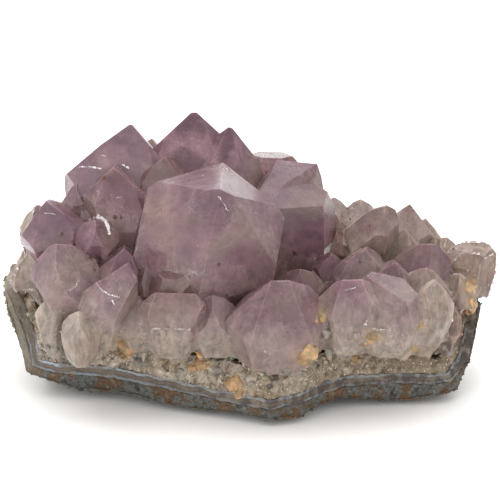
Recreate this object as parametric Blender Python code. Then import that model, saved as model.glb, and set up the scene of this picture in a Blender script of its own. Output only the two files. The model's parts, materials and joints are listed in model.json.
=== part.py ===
"""Amethyst cluster on a broken piece of geode wall.

The wall is a shallow bowl in three layers: rough crust, banded agate and granular
quartz. The crystals stand on it, grown together in one body. X is along the front
edge, Y goes away from it and Z is up. Sizes are in millimetres until they are built.
"""

import math
import random

import bmesh
import bpy
from mathutils import Vector

MM = 0.001
GAP = 0.3  # clearance between one layer and the next

# Quartz: the faces of the tip stand 51.8 degrees from the plane across the crystal.
TIP_FACE_ANGLE = math.radians(51.8)
SIDES = 6

# The middle of the whole cluster's footprint, which the origin is moved to at the end.
FOOTPRINT_MIDDLE = Vector((-0.55, -3.34, 0.0))

# The geode wall, column by column from the left rim to the right rim.
# x, y and z of the crust's outside at the front edge; depth of the agate's middle
# from there; thickness of the granular quartz; y of the back edge; lean of the
# growth direction from the vertical, in degrees, positive toward +X.
WALL = (
    (-64.9, -6.0, 25.2, 2.6, 2.0, 8.0, 78.0),
    (-63.2, -10.0, 22.4, 3.0, 2.2, 12.0, 76.0),
    (-59.9, -13.0, 15.0, 3.0, 2.6, 16.6, 66.0),
    (-57.6, -16.0, 6.8, 3.0, 3.2, 21.2, 46.0),
    (-51.8, -17.5, 4.4, 3.8, 4.4, 25.8, 24.0),
    (-42.7, -19.0, 2.2, 5.7, 5.6, 28.5, 12.0),
    (-35.5, -22.0, 2.9, 5.4, 6.4, 30.4, 6.0),
    (-23.0, -26.0, 2.1, 5.3, 7.0, 32.2, 3.0),
    (-13.5, -29.5, 2.2, 4.6, 7.0, 33.1, 0.0),
    (-3.8, -33.0, 2.7, 3.6, 7.0, 33.6, 0.0),
    (5.0, -36.0, 1.9, 3.9, 6.6, 33.1, 0.0),
    (12.6, -33.5, 2.0, 4.4, 6.6, 32.2, 0.0),
    (18.3, -29.0, 2.6, 4.6, 7.0, 31.3, 0.0),
    (24.3, -25.5, 3.8, 3.8, 7.0, 29.4, -3.0),
    (31.3, -24.0, 2.2, 5.2, 7.0, 27.6, -8.0),
    (39.8, -23.0, 1.8, 5.5, 6.4, 23.9, -14.0),
    (48.9, -22.0, 2.2, 4.8, 5.2, 20.2, -24.0),
    (53.7, -20.0, 3.2, 3.8, 4.2, 16.6, -38.0),
    (57.6, -15.5, 8.6, 2.8, 3.2, 11.0, -58.0),
    (59.4, -11.5, 14.4, 2.4, 2.6, 8.0, -70.0),
    (60.2, -8.0, 22.3, 2.2, 2.2, 5.0, -78.0),
)
ROWS = 7  # rows of the wall from the front edge to the back edge
SAG = 2.2  # how far the crust's middle hangs below its edges
FLAT_FROM, FLAT_TO = 0.3, 0.75  # the rows between these shares of the depth lie flat
FLAT_HALF_LENGTH = 27.0  # half the length of the flat spot it rests on
BACK_RISE = 2.0  # height of the back edge above the front edge's profile
AGATE_HALF = 1.2  # half the agate's thickness
CRUST_ROUGHNESS = 0.7
EDGE_SLOPE = 0.30  # how far the broken edge runs back for each mm that it rises

# Every crystal: name; x, y, z of its point; slope of its axis in x and in y; half
# width; length; turn about its axis in degrees; how far the middle of its stem is
# from under the point, across and away. A turn of 0 has a tip face on the right.
CRYSTALS = (
    ("main", -7.1, -32.0, 62.0, 0.18, -1.07, 18.0, 50.0, -9.3, -1.1, -3.4),
    ("tall_right", 17.4, 0.0, 58.4, 0.00, -0.06, 9.0, 48.0, 0.0, -7.2, -4.4),
    ("right_block", 13.9, -9.2, 49.1, 0.00, -0.05, 8.8, 36.0, -20.0, -1.2, 8.4),
    ("peak", -14.5, 6.0, 70.4, 0.00, -0.28, 11.5, 56.0, 30.0, 0.0, 0.0),
    ("peak_right", -5.2, 4.0, 66.9, 0.14, -0.22, 10.0, 50.0, 30.0, 0.0, 0.0),
    ("left_top", -30.8, 4.0, 67.7, 0.06, -0.20, 14.2, 56.0, 22.0, -4.4, 0.0),
    ("left_sliver", -25.9, 14.0, 61.0, 0.05, -0.05, 6.0, 45.0, 10.0, 0.0, 0.0),
    ("left_mid", -34.8, -8.0, 60.0, -0.03, -0.40, 9.4, 46.0, 30.0, 0.5, 0.0),
    ("left_chip", -44.9, -2.0, 53.5, -0.20, -0.20, 4.8, 32.0, 30.0, 0.0, 0.0),
    ("left_far", -51.8, -12.0, 52.3, -0.20, -0.35, 9.2, 38.0, 30.0, -0.6, 0.0),
    ("left_rim", -55.6, 0.0, 48.2, -0.06, -0.10, 6.0, 34.0, 10.0, 0.0, 0.0),
    ("left_point", -39.0, -18.0, 49.2, -0.05, -0.40, 5.2, 28.0, 30.0, 0.0, 0.0),
    ("left_low", -48.5, -24.0, 45.0, -0.16, -0.42, 8.8, 34.0, 26.0, 0.6, 0.0),
    ("left_front", -30.4, -31.0, 42.2, 0.10, -0.38, 8.8, 34.0, 20.0, -3.0, 0.0),
    ("left_small", -31.6, -22.0, 43.1, 0.05, -0.40, 6.0, 28.0, 30.0, 0.0, 0.0),
    ("left_milky", -42.6, -33.5, 30.7, -0.05, -0.20, 5.6, 21.0, 30.0, 0.0, 0.0),
    ("left_milky_2", -50.0, -25.0, 31.5, -0.10, -0.22, 6.0, 24.0, 12.0, 0.0, 0.0),
    ("left_pale", -57.6, -9.0, 38.0, -0.12, -0.16, 6.2, 30.0, 20.0, 0.0, 0.0),
    ("front_1", -18.4, -34.0, 35.7, 0.03, -0.26, 7.2, 28.0, 30.0, 0.0, 0.0),
    ("front_dark", -19.8, -28.0, 38.2, -0.20, -0.45, 6.6, 28.0, 20.0, -2.0, 0.0),
    ("front_shade", -26.1, -24.0, 38.9, -0.10, -0.40, 5.6, 26.0, 10.0, 0.0, 0.0),
    ("front_2", 7.4, -35.0, 39.4, 0.06, -0.28, 12.0, 34.0, 36.0, -2.2, 0.0),
    ("front_3", 25.4, -32.0, 38.5, -0.02, -0.26, 8.4, 30.0, 30.0, -3.4, 0.0),
    ("front_4", 30.3, -29.0, 38.1, 0.05, -0.24, 9.2, 30.0, 26.0, 5.2, 0.0),
    ("front_5", 46.2, -27.0, 36.6, 0.10, -0.22, 6.6, 29.0, 34.0, 0.2, 0.0),
    ("front_behind", 12.6, -22.0, 37.6, 0.05, -0.35, 6.6, 26.0, 30.0, 0.0, 0.0),
    ("front_low", -9.2, -31.0, 34.0, 0.00, -0.26, 6.4, 27.0, 30.0, 0.0, 0.0),
    ("front_fill", -28.0, -29.0, 33.0, 0.02, -0.26, 6.0, 25.0, 15.0, 0.0, 0.0),
    ("front_gap", 16.6, -27.0, 31.0, 0.00, -0.24, 5.4, 24.0, 0.0, 0.0, 0.0),
    ("right_inner", 21.0, -12.0, 37.8, 0.10, -0.45, 5.8, 26.0, 30.0, 1.4, 0.0),
    ("right_mid", 29.4, -15.0, 40.4, 0.05, -0.45, 7.4, 28.0, 16.0, 0.0, 0.0),
    ("right_low", 36.5, -19.0, 38.4, 0.05, -0.42, 6.4, 26.0, 30.0, 0.0, 0.0),
    ("right_purple", 46.7, -13.0, 41.0, 0.15, -0.42, 8.4, 29.0, 24.0, 0.5, 0.0),
    ("right_facet", 44.5, -20.0, 37.1, 0.10, -0.35, 6.0, 24.0, 30.0, 0.0, 0.0),
    ("right_rim", 58.6, -6.0, 38.3, 0.12, -0.12, 7.2, 28.0, 12.0, -1.0, 0.0),
    ("right_gap", 54.0, -14.0, 34.0, 0.20, -0.22, 6.2, 25.0, 30.0, 0.0, 0.0),
    ("right_gap_2", 51.5, -19.0, 27.0, 0.12, -0.20, 5.0, 20.0, 10.0, 0.0, 0.0),
    ("back_right_1", 42.2, 8.0, 44.7, 0.10, -0.12, 7.0, 33.0, 20.0, -1.0, 0.0),
    ("back_right_2", 35.2, -2.0, 47.7, 0.10, -0.20, 7.0, 33.0, 30.0, -3.6, 0.0),
    ("back_right_3", 29.6, 14.0, 44.1, 0.05, -0.05, 7.0, 33.0, 30.0, 0.0, 0.0),
    ("back_right_4", 22.6, 18.0, 43.3, 0.00, 0.05, 4.8, 32.0, 30.0, 0.0, 0.0),
    ("back_right_5", 46.8, 12.0, 39.4, 0.15, 0.00, 5.4, 30.0, 30.0, 0.0, 0.0),
    ("back_right_6", 49.2, 6.0, 36.2, 0.10, -0.05, 4.4, 24.0, 30.0, 0.0, 0.0),
    ("back_right_7", 52.1, 6.0, 36.2, 0.18, -0.05, 4.0, 24.0, 20.0, 0.0, 0.0),
    ("red_upper", 21.8, 4.0, 44.1, 0.05, -0.25, 4.6, 28.0, 20.0, 0.0, 0.0),
    ("red_lower", 22.6, -1.0, 40.6, 0.05, -0.30, 4.8, 26.0, 30.0, 0.0, 0.0),
    ("flat_top", 5.6, 12.0, 56.9, 0.04, 0.00, 7.0, 46.0, 30.0, 0.0, 0.0),
    ("behind_right", 5.2, 6.0, 54.0, 0.10, -0.15, 8.0, 44.0, 30.0, 0.0, 0.0),
    ("brown", -21.7, -4.0, 61.5, 0.00, -0.30, 7.4, 42.0, 10.0, 0.0, 0.0),
    ("ochre", 40.5, 0.0, 40.5, 0.05, -0.25, 5.8, 27.0, 10.0, 0.0, 0.0),
    ("inner_right_1", 20.5, 11.0, 39.0, 0.05, -0.10, 6.4, 28.0, 14.0, 0.0, 0.0),
    ("inner_right_2", 25.0, -19.0, 33.0, 0.00, -0.30, 6.2, 24.0, 8.0, 0.0, 0.0),
    ("inner_right_3", 16.0, -14.0, 34.0, 0.00, -0.30, 6.0, 24.0, 24.0, 0.0, 0.0),
    ("inner_left_1", -40.0, -22.0, 34.0, 0.00, -0.30, 6.4, 25.0, 8.0, 0.0, 0.0),
    ("back_1", -48.0, 12.0, 45.0, -0.15, 0.20, 8.4, 36.0, 12.0, 0.0, 0.0),
    ("back_2", -36.0, 18.0, 53.0, -0.10, 0.28, 10.0, 44.0, 27.0, 0.0, 0.0),
    ("back_3", -18.0, 21.0, 56.0, -0.02, 0.28, 10.6, 46.0, 5.0, 0.0, 0.0),
    ("back_4", -1.0, 19.0, 53.0, 0.05, 0.22, 9.0, 44.0, 20.0, 0.0, 0.0),
    ("back_5", 13.0, 23.0, 45.0, 0.10, 0.30, 8.4, 38.0, 33.0, 0.0, 0.0),
    ("back_6", -52.0, 20.0, 33.0, -0.22, 0.30, 6.6, 26.0, 18.0, 0.0, 0.0),
    ("back_7", -42.0, 27.0, 38.0, -0.12, 0.42, 7.6, 32.0, 8.0, 0.0, 0.0),
    ("back_8", -29.0, 29.0, 42.0, -0.05, 0.42, 8.2, 34.0, 22.0, 0.0, 0.0),
    ("back_9", -15.0, 31.5, 38.0, 0.00, 0.44, 7.6, 31.0, 30.0, 0.0, 0.0),
    ("back_10", -3.0, 32.0, 40.0, 0.05, 0.42, 8.0, 33.0, 12.0, 0.0, 0.0),
    ("back_11", 9.0, 32.0, 33.0, 0.08, 0.44, 7.0, 27.0, 26.0, 0.0, 0.0),
    ("back_12", 23.0, 26.0, 35.0, 0.10, 0.36, 7.4, 28.0, 4.0, 0.0, 0.0),
    ("back_13", 35.0, 21.0, 34.0, 0.15, 0.32, 7.0, 27.0, 18.0, 0.0, 0.0),
    ("back_14", 46.0, 16.0, 29.0, 0.24, 0.28, 6.0, 23.0, 30.0, 0.0, 0.0),
    ("back_15", 54.0, 4.0, 31.0, 0.28, 0.12, 5.8, 23.0, 10.0, 0.0, 0.0),
    ("back_16", -58.6, 8.0, 34.0, -0.16, 0.12, 5.6, 24.0, 15.0, 0.0, 0.0),
)

# How far each side of a crystal is from its axis, and how far each face of its tip
# is set back from the point, as shares of its half width. The first is at the turn,
# the next ones follow at 60 degrees. A crystal that isn't here gets seeded ones.
SIDE_WIDTHS = {
    "main": (1.07, 0.89, 0.84, 0.93, 1.0, 1.01),
    "front_1": (1.0, 0.8, 1.3, 1.15, 0.8, 0.98),
    "left_front": (0.62, 0.95, 1.05, 1.05, 0.95, 0.74),
    "tall_right": (1.12, 1.0, 1.0, 1.0, 1.0, 1.05),
    "left_top": (0.9, 0.9, 0.84, 0.88, 1.0, 0.9),
    "front_2": (0.95, 1.0, 1.0, 1.08, 0.95, 0.95),
    "right_block": (1.0, 1.0, 1.0, 1.0, 1.4, 0.98),
}
FACE_SETBACKS = {
    "main": (0.18, 0.02, 0.0, 0.13, 0.13, 0.16),
    "peak": (0.15, 0.15, 0.15, 0.34, 0.0, 0.14),
    "peak_right": (0.05, 0.06, 0.10, 0.08, 0.0, 0.0),
    "front_1": (0.45, 0.0, 0.50, 0.45, 0.0, 0.50),
    "front_2": (0.18, 0.02, 0.34, 0.36, 0.06, 0.0),
    "tall_right": (0.9, 0.9, 0.9, 0.9, 0.9, 0.9),
    "right_block": (0.9, 0.9, 0.9, 0.9, 0.9, 0.9),
    "left_top": (0.06, 0.15, 0.20, 0.34, 0.0, 0.14),
    "flat_top": (0.55, 0.55, 0.55, 0.55, 0.55, 0.55),
    "right_rim": (0.5, 0.4, 0.5, 0.5, 0.4, 0.5),
    "front_dark": (0.35, 0.35, 0.35, 0.35, 0.35, 0.35),
    "front_3": (0.10, 0.0, 0.50, 0.45, 0.08, 0.05),
    "front_4": (0.6, 0.2, 0.1, 0.15, 0.1, 0.6),
}
# Tips with other faces: where each one faces and how steep it is, in degrees, and how far
# it is set back from the point, as a share of the half width.
FLAT_TIPS = {
    "tall_right": (
        (255.0, 30.0, 0.0), (240.0, 42.0, 0.3), (285.0, 60.0, 0.0), (330.0, 80.0, 0.0), (20.0, 60.0, 0.0),
        (75.0, 75.0, 0.0), (270.0, 90.0, 1.0),
    ),
    "right_block": ((280.0, 36.0, 0.0),),
    "flat_top": ((90.0, 8.0, 0.0),),
    "right_rim": ((190.0, 10.0, 0.0),),
    "back_right_2": ((150.0, 34.0, 0.0),),
    "front_dark": ((60.0, 20.0, 0.0),),
    "front_4": ((345.0, 22.0, 0.0),),
}

SHOULDER_DROP = 1.35  # depth of the widest place below the point, in half widths
STEM_TAPER = 0.05  # how much a side leans in above the widest place
BODY_TAPER = 0.12  # how much it leans in below the widest place
ROOT_START = 0.66  # where a tooth-like root begins, as a share of the length
ROOT_TAPER = 0.60  # how much a side leans in at the root
# Teeth whose roots narrow sooner: where that begins, and how much their sides lean in.
EARLY_ROOTS = {
    "front_1": (0.45, 0.36), "front_2": (0.58, 0.36), "front_3": (0.50, 0.36), "front_4": (0.50, 0.36),
    "front_5": (0.50, 0.30), "left_milky": (0.62, 0.30),
}

# The massive milky quartz that the roots run into, as a bowl-shaped bed.
BED_THICKNESS = 12.0
BED_INSET = 6.0
BED_ROUGHNESS = 1.6

PALETTE = {
    "amethyst": ((0.44, 0.33, 0.38), 0.18),
    "granular_quartz": ((0.48, 0.44, 0.38), 0.65),
    "agate": ((0.42, 0.46, 0.50), 0.35),
    "basalt": ((0.27, 0.24, 0.20), 0.90),
}


def clear_scene():
    for obj in list(bpy.data.objects):
        bpy.data.objects.remove(obj, do_unlink=True)


def material(name):
    colour, roughness = PALETTE[name]
    made = bpy.data.materials.new(name)
    made.use_nodes = True
    shader = made.node_tree.nodes["Principled BSDF"]
    shader.inputs["Base Color"].default_value = (*colour, 1.0)
    shader.inputs["Roughness"].default_value = roughness
    return made


def object_from(name, mesh_builder, slot):
    mesh = bpy.data.meshes.new(name)
    mesh_builder.to_mesh(mesh)
    mesh_builder.free()
    obj = bpy.data.objects.new(name, mesh)
    bpy.context.scene.collection.objects.link(obj)
    mesh.materials.append(slot)
    return obj


def make_cutter(obj):
    obj.hide_render = True
    obj.display_type = "WIRE"


def growth_direction(column):
    lean = math.radians(column[6])
    return Vector((math.sin(lean), 0.0, math.cos(lean)))


def sheet_point(column, share, depth, roughness=0.0, key=""):
    """A point of the wall at a share of the way back and a depth inward from the crust's outside."""
    x, front, z_front, _, _, back, lean = column
    arch = 4.0 * share * (1.0 - share)
    z = z_front - SAG * arch * math.cos(math.radians(lean)) + BACK_RISE * share * share
    if FLAT_FROM <= share <= FLAT_TO and abs(x) <= FLAT_HALF_LENGTH:
        z = 0.0
    point = Vector((x, 0.0, max(z, 0.0))) + growth_direction(column) * depth
    narrowing = EDGE_SLOPE * depth
    point.y = front + narrowing + (back - front - 2.0 * narrowing) * share
    if roughness and point.z > 0.0:
        dice = random.Random(f"{key} {column[0]} {share:.3f}")
        point.x += dice.uniform(-roughness, roughness)
        point.y += dice.uniform(-roughness, roughness)
        point.z += max(dice.uniform(-roughness, roughness), -point.z)
    return point


def layer_depths(column, share):
    """Depths of the two faces of each layer, from the crust's outside inward."""
    agate = column[3]
    granular = column[4]
    inside = 1.0 - 0.35 * 4.0 * share * (1.0 - share)
    return {
        "basalt_crust": (0.0, agate - AGATE_HALF),
        "agate_band": (agate - AGATE_HALF + GAP, agate + AGATE_HALF),
        "granular_quartz": (agate + AGATE_HALF + GAP, agate + AGATE_HALF + GAP + granular * inside),
    }


def shell(name, lower, upper, shares, slot, across=WALL):
    """One closed body between two grids of points over the wall."""
    builder = bmesh.new()
    grids = []
    for surface in (lower, upper):
        grids.append([[builder.verts.new(surface(c, s) * MM) for s in shares] for c in across])
    low, high = grids
    columns = len(across)
    rows = len(shares)
    for i in range(columns - 1):
        for j in range(rows - 1):
            builder.faces.new((low[i][j], low[i][j + 1], low[i + 1][j + 1], low[i + 1][j]))
            builder.faces.new((high[i][j], high[i + 1][j], high[i + 1][j + 1], high[i][j + 1]))
    rim = [(i, 0) for i in range(columns)] + [(columns - 1, j) for j in range(1, rows)]
    rim += [(i, rows - 1) for i in range(columns - 2, -1, -1)] + [(0, j) for j in range(rows - 2, 0, -1)]
    for (a, b), (c, d) in zip(rim, rim[1:] + rim[:1]):
        builder.faces.new((low[a][b], low[c][d], high[c][d], high[a][b]))
    bmesh.ops.triangulate(builder, faces=builder.faces[:])
    bmesh.ops.recalc_face_normals(builder, faces=builder.faces[:])
    return object_from(name, builder, slot)


def row_shares():
    return [j / (ROWS - 1) for j in range(ROWS)]


def build_layer(name, slot, low_roughness, high_roughness):
    def lower(column, share):
        return sheet_point(column, share, layer_depths(column, share)[name][0], low_roughness, name)

    def upper(column, share):
        return sheet_point(column, share, layer_depths(column, share)[name][1], high_roughness, name)

    return shell(name, lower, upper, row_shares(), slot)


def build_bed(slot):
    """The milky bed, with its lower side inside the wall, where the wall's cutter trims it."""

    def lower(column, share):
        return inset_point(column, share, layer_depths(column, share)["granular_quartz"][1] - 2.0)

    def upper(column, share):
        top = layer_depths(column, share)["granular_quartz"][1]
        edge = 0.35 + 0.65 * min(1.0, 3.0 * min(share, 1.0 - share))
        dice = random.Random(f"bed {column[0]} {share:.3f}")
        height = BED_THICKNESS * edge * (0.35 + 0.65 * math.cos(math.radians(column[6])))
        return inset_point(column, share, top + height + dice.uniform(-BED_ROUGHNESS, BED_ROUGHNESS))

    def inset_point(column, share, depth):
        point = sheet_point(column, share, depth)
        middle = 0.5 * (column[1] + column[5])
        half = max(0.5 * (column[5] - column[1]), 1.0)
        point.y = middle + (point.y - middle) * max(half - BED_INSET, 1.0) / half
        return point

    return shell("milky_bed", lower, upper, row_shares(), slot)


def build_wall_cutter(slot):
    """Everything outside the granular quartz and a clearance above it."""
    far = 40.0
    shares = [-0.5, *row_shares(), 1.5]

    def depth_at(column, share):
        return layer_depths(column, min(max(share, 0.0), 1.0))["granular_quartz"][1]

    def spread(column, share, depth):
        inside = min(max(share, 0.0), 1.0)
        point = sheet_point(column, inside, depth)
        if share < 0.0:
            point.y -= far
        if share > 1.0:
            point.y += far
        return point

    def upper(column, share):
        return spread(column, share, depth_at(column, share) + GAP)

    def lower(column, share):
        return spread(column, share, -far * 0.5)

    def raised(column):
        return (*column[:2], column[2] + 2.0 * GAP, *column[3:])

    across = [raised(WALL[0]), *WALL[1:-1], raised(WALL[-1])]
    cutter = shell("wall_cutter", lower, upper, shares, slot, across)
    make_cutter(cutter)
    return cutter


def crystal_frame(slope_x, slope_y):
    axis = Vector((slope_x, slope_y, 1.0)).normalized()
    right = Vector((1.0, 0.0, 0.0))
    right = (right - axis * right.dot(axis)).normalized()
    return right, axis.cross(right), axis


def cut_away(builder, point, normal):
    """Takes off what is beyond a plane and closes the cut."""
    parts = builder.verts[:] + builder.edges[:] + builder.faces[:]
    cut = bmesh.ops.bisect_plane(
        builder, geom=parts, dist=1e-7, plane_co=point, plane_no=normal, clear_outer=True
    )
    edges = [e for e in cut["geom_cut"] if isinstance(e, bmesh.types.BMEdge)]
    if edges:
        bmesh.ops.edgeloop_fill(builder, edges=edges)


def build_crystal(row, slot):
    """A six-sided stem with a six-faced tip, cut from a block one flat face at a time."""
    name, x, y, z, slope_x, slope_y, half, length, turn, across, away = row
    right, back, axis = crystal_frame(slope_x, slope_y)
    tip = Vector((x, y, z)) * MM
    half *= MM
    length *= MM
    stem = tip + (right * across + back * away) * MM
    dice = random.Random(name)
    widths = SIDE_WIDTHS.get(name) or [dice.uniform(0.88, 1.10) for _ in range(SIDES)]
    first = dice.randrange(2)
    setbacks = FACE_SETBACKS.get(name) or [
        (0.0 if k % 2 == first else 0.16) + dice.uniform(0.0, 0.12) for k in range(SIDES)
    ]
    shoulder = half * SHOULDER_DROP
    start, lean = EARLY_ROOTS.get(name, (ROOT_START, ROOT_TAPER))
    root = max(length * start, shoulder + 0.1 * half)

    builder = bmesh.new()
    bmesh.ops.create_cube(builder, size=1.0)
    for vert in builder.verts:
        sideways = (right * vert.co.x + back * vert.co.y) * 6.0 * half
        vert.co = stem - axis * length + sideways + axis * (vert.co.z + 0.5) * 2.0 * length
    for k in range(SIDES):
        angle = math.radians(turn + 360.0 / SIDES * k)
        outward = right * math.cos(angle) + back * math.sin(angle)
        reach = half * widths[k]
        side = stem - axis * shoulder + outward * reach
        cut_away(builder, side, (outward + axis * STEM_TAPER).normalized())
        cut_away(builder, side, (outward - axis * BODY_TAPER).normalized())
        side = stem - axis * root + outward * (reach - (root - shoulder) * BODY_TAPER)
        cut_away(builder, side, (outward - axis * lean).normalized())
        face = outward * math.sin(TIP_FACE_ANGLE) + axis * math.cos(TIP_FACE_ANGLE)
        cut_away(builder, tip + face * half * setbacks[k], face)
    for facing, steep, setback in FLAT_TIPS.get(name, ()):
        facing, steep = math.radians(facing), math.radians(steep)
        outward = right * math.cos(facing) + back * math.sin(facing)
        face = outward * math.sin(steep) + axis * math.cos(steep)
        cut_away(builder, tip + face * half * setback, face)
    if name not in FLAT_TIPS:
        top = max(axis.dot(vert.co) for vert in builder.verts)
        ends = [vert.co for vert in builder.verts if axis.dot(vert.co) > top - 0.05 * half]
        highest = sum(ends, Vector()) / len(ends)
        bmesh.ops.translate(builder, verts=builder.verts[:], vec=tip - highest)
    bmesh.ops.remove_doubles(builder, verts=builder.verts[:], dist=1e-6)
    bmesh.ops.recalc_face_normals(builder, faces=builder.faces[:])
    return object_from(name, builder, slot)


def apply_boolean(obj, operation, other=None, collection=None):
    modifier = obj.modifiers.new(operation.lower(), "BOOLEAN")
    modifier.operation = operation
    modifier.solver = "EXACT"
    if collection is not None:
        modifier.operand_type = "COLLECTION"
        modifier.collection = collection
    else:
        modifier.object = other
    bpy.context.view_layer.update()
    graph = bpy.context.evaluated_depsgraph_get()
    joined = bpy.data.meshes.new_from_object(obj.evaluated_get(graph))
    obj.modifiers.clear()
    obj.data = joined


def volume_of(faces):
    total = 0.0
    for face in faces:
        first = face.verts[0].co
        for here, after in zip(face.verts[1:], face.verts[2:]):
            total += first.dot(here.co.cross(after.co)) / 6.0
    return total


def fill_pockets(obj):
    """Makes the pockets that are shut in between crystals solid."""
    builder = bmesh.new()
    builder.from_mesh(obj.data)
    left = set(builder.faces)
    while left:
        body = set()
        front = [left.pop()]
        while front:
            face = front.pop()
            body.add(face)
            for edge in face.edges:
                for neighbour in edge.link_faces:
                    if neighbour in left:
                        left.remove(neighbour)
                        front.append(neighbour)
        if volume_of(body) < 0.0:
            bmesh.ops.delete(builder, geom=list(body), context="FACES")
    loose = [vert for vert in builder.verts if not vert.link_faces]
    bmesh.ops.delete(builder, geom=loose, context="VERTS")
    builder.to_mesh(obj.data)
    builder.free()


def build_cluster(slot):
    """All crystals and the bed joined in one body, with what is inside the wall cut off."""
    cluster = build_bed(slot)
    cluster.name = "amethyst_crystals"
    others = bpy.data.collections.new("crystals")
    bpy.context.scene.collection.children.link(others)
    for row in CRYSTALS:
        crystal = build_crystal(row, slot)
        bpy.context.scene.collection.objects.unlink(crystal)
        others.objects.link(crystal)
    apply_boolean(cluster, "UNION", collection=others)
    cutter = build_wall_cutter(slot)
    apply_boolean(cluster, "DIFFERENCE", other=cutter)
    fill_pockets(cluster)
    for obj in [*others.objects, cutter]:
        bpy.data.objects.remove(obj, do_unlink=True)
    bpy.data.collections.remove(others)
    return cluster


def main():
    clear_scene()
    slots = {name: material(name) for name in PALETTE}
    build_layer("basalt_crust", slots["basalt"], CRUST_ROUGHNESS, 0.0)
    build_layer("agate_band", slots["agate"], 0.0, 0.0)
    build_layer("granular_quartz", slots["granular_quartz"], 0.0, 0.0)
    build_cluster(slots["amethyst"])
    for node in bpy.context.scene.objects:
        for vert in node.data.vertices:
            vert.co -= FOOTPRINT_MIDDLE * MM


main()
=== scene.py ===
"""Amethyst cluster on a broken piece of geode wall: its looks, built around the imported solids.

X runs along the front edge, Y away from it and Z up, in metres. Sizes in the tables
are in millimetres, in the crystals' own frame, which FOOTPRINT_MIDDLE moves to the frame's.
"""

import json
import math
import random

import bmesh
import bpy
import numpy as np
from mathutils import Matrix, Vector, noise
from mathutils.bvhtree import BVHTree

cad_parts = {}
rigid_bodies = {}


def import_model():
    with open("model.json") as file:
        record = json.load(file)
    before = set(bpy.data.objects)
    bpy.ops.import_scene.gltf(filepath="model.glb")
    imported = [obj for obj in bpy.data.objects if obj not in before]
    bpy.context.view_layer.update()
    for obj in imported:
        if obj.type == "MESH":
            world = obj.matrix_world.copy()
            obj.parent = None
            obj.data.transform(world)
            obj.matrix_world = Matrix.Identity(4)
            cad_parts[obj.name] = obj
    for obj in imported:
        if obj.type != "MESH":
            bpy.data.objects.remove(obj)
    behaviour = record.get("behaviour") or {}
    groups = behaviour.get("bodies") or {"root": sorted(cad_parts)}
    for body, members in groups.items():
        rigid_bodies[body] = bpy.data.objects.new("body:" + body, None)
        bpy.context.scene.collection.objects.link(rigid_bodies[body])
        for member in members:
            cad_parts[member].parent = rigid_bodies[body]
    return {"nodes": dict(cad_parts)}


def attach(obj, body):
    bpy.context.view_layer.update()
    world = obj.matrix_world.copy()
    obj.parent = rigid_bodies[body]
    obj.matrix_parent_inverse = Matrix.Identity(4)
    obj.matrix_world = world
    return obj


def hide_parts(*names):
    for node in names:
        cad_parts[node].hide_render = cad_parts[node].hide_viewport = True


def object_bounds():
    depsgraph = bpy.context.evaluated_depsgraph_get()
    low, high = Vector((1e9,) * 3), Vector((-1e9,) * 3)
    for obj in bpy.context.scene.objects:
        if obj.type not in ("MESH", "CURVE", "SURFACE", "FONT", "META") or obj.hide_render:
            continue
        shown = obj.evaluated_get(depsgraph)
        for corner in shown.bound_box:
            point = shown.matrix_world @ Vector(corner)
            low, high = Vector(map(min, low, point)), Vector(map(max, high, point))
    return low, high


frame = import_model()
CAD_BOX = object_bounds()

bl_info = {
    "name": "Amethyst cluster",
    "version": (1, 0, 0),
    "blender": (4, 5, 0),
    "location": "3D View > Sidebar > Amethyst",
    "description": "Builds one amethyst cluster: its crystals, their inclusions and the geode wall",
    "category": "Object",
}

MM = 0.001
FOOTPRINT_MIDDLE = Vector((-0.55, -3.34, 0.0))

# The photograph's camera, which the specks, the painted glints and the stains are placed by.
PHOTO_SIDE = 500  # pixels
CAMERA_TARGET = Vector((0.55, 3.34, 34.6)) * MM
CAMERA_ELEVATION = math.radians(20.0)
CAMERA_DISTANCE = 0.55
LENS = 151.1
SENSOR = 36.0
PIXEL = 0.262  # millimetres that a pixel covers at the target

# Quartz: the faces of the tip stand 51.8 degrees from the plane across the crystal.
TIP_FACE_ANGLE = math.radians(51.8)
SIDES = 6
SHOULDER_DROP = 1.35  # depth of the widest place below the point, in half widths
STEM_TAPER = 0.05  # how much a side leans in above the widest place
BODY_TAPER = 0.12  # how much it leans in below the widest place
ROOT_START = 0.66  # where a tooth-like root begins, as a share of the length
ROOT_TAPER = 0.60  # how much a side leans in at the root
# Teeth whose roots narrow sooner: where that begins, and how much their sides lean in.
EARLY_ROOTS = {
    "front_1": (0.45, 0.36), "front_2": (0.58, 0.36), "front_3": (0.50, 0.36), "front_4": (0.50, 0.36),
    "front_5": (0.50, 0.30), "left_milky": (0.62, 0.30),
}

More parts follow.
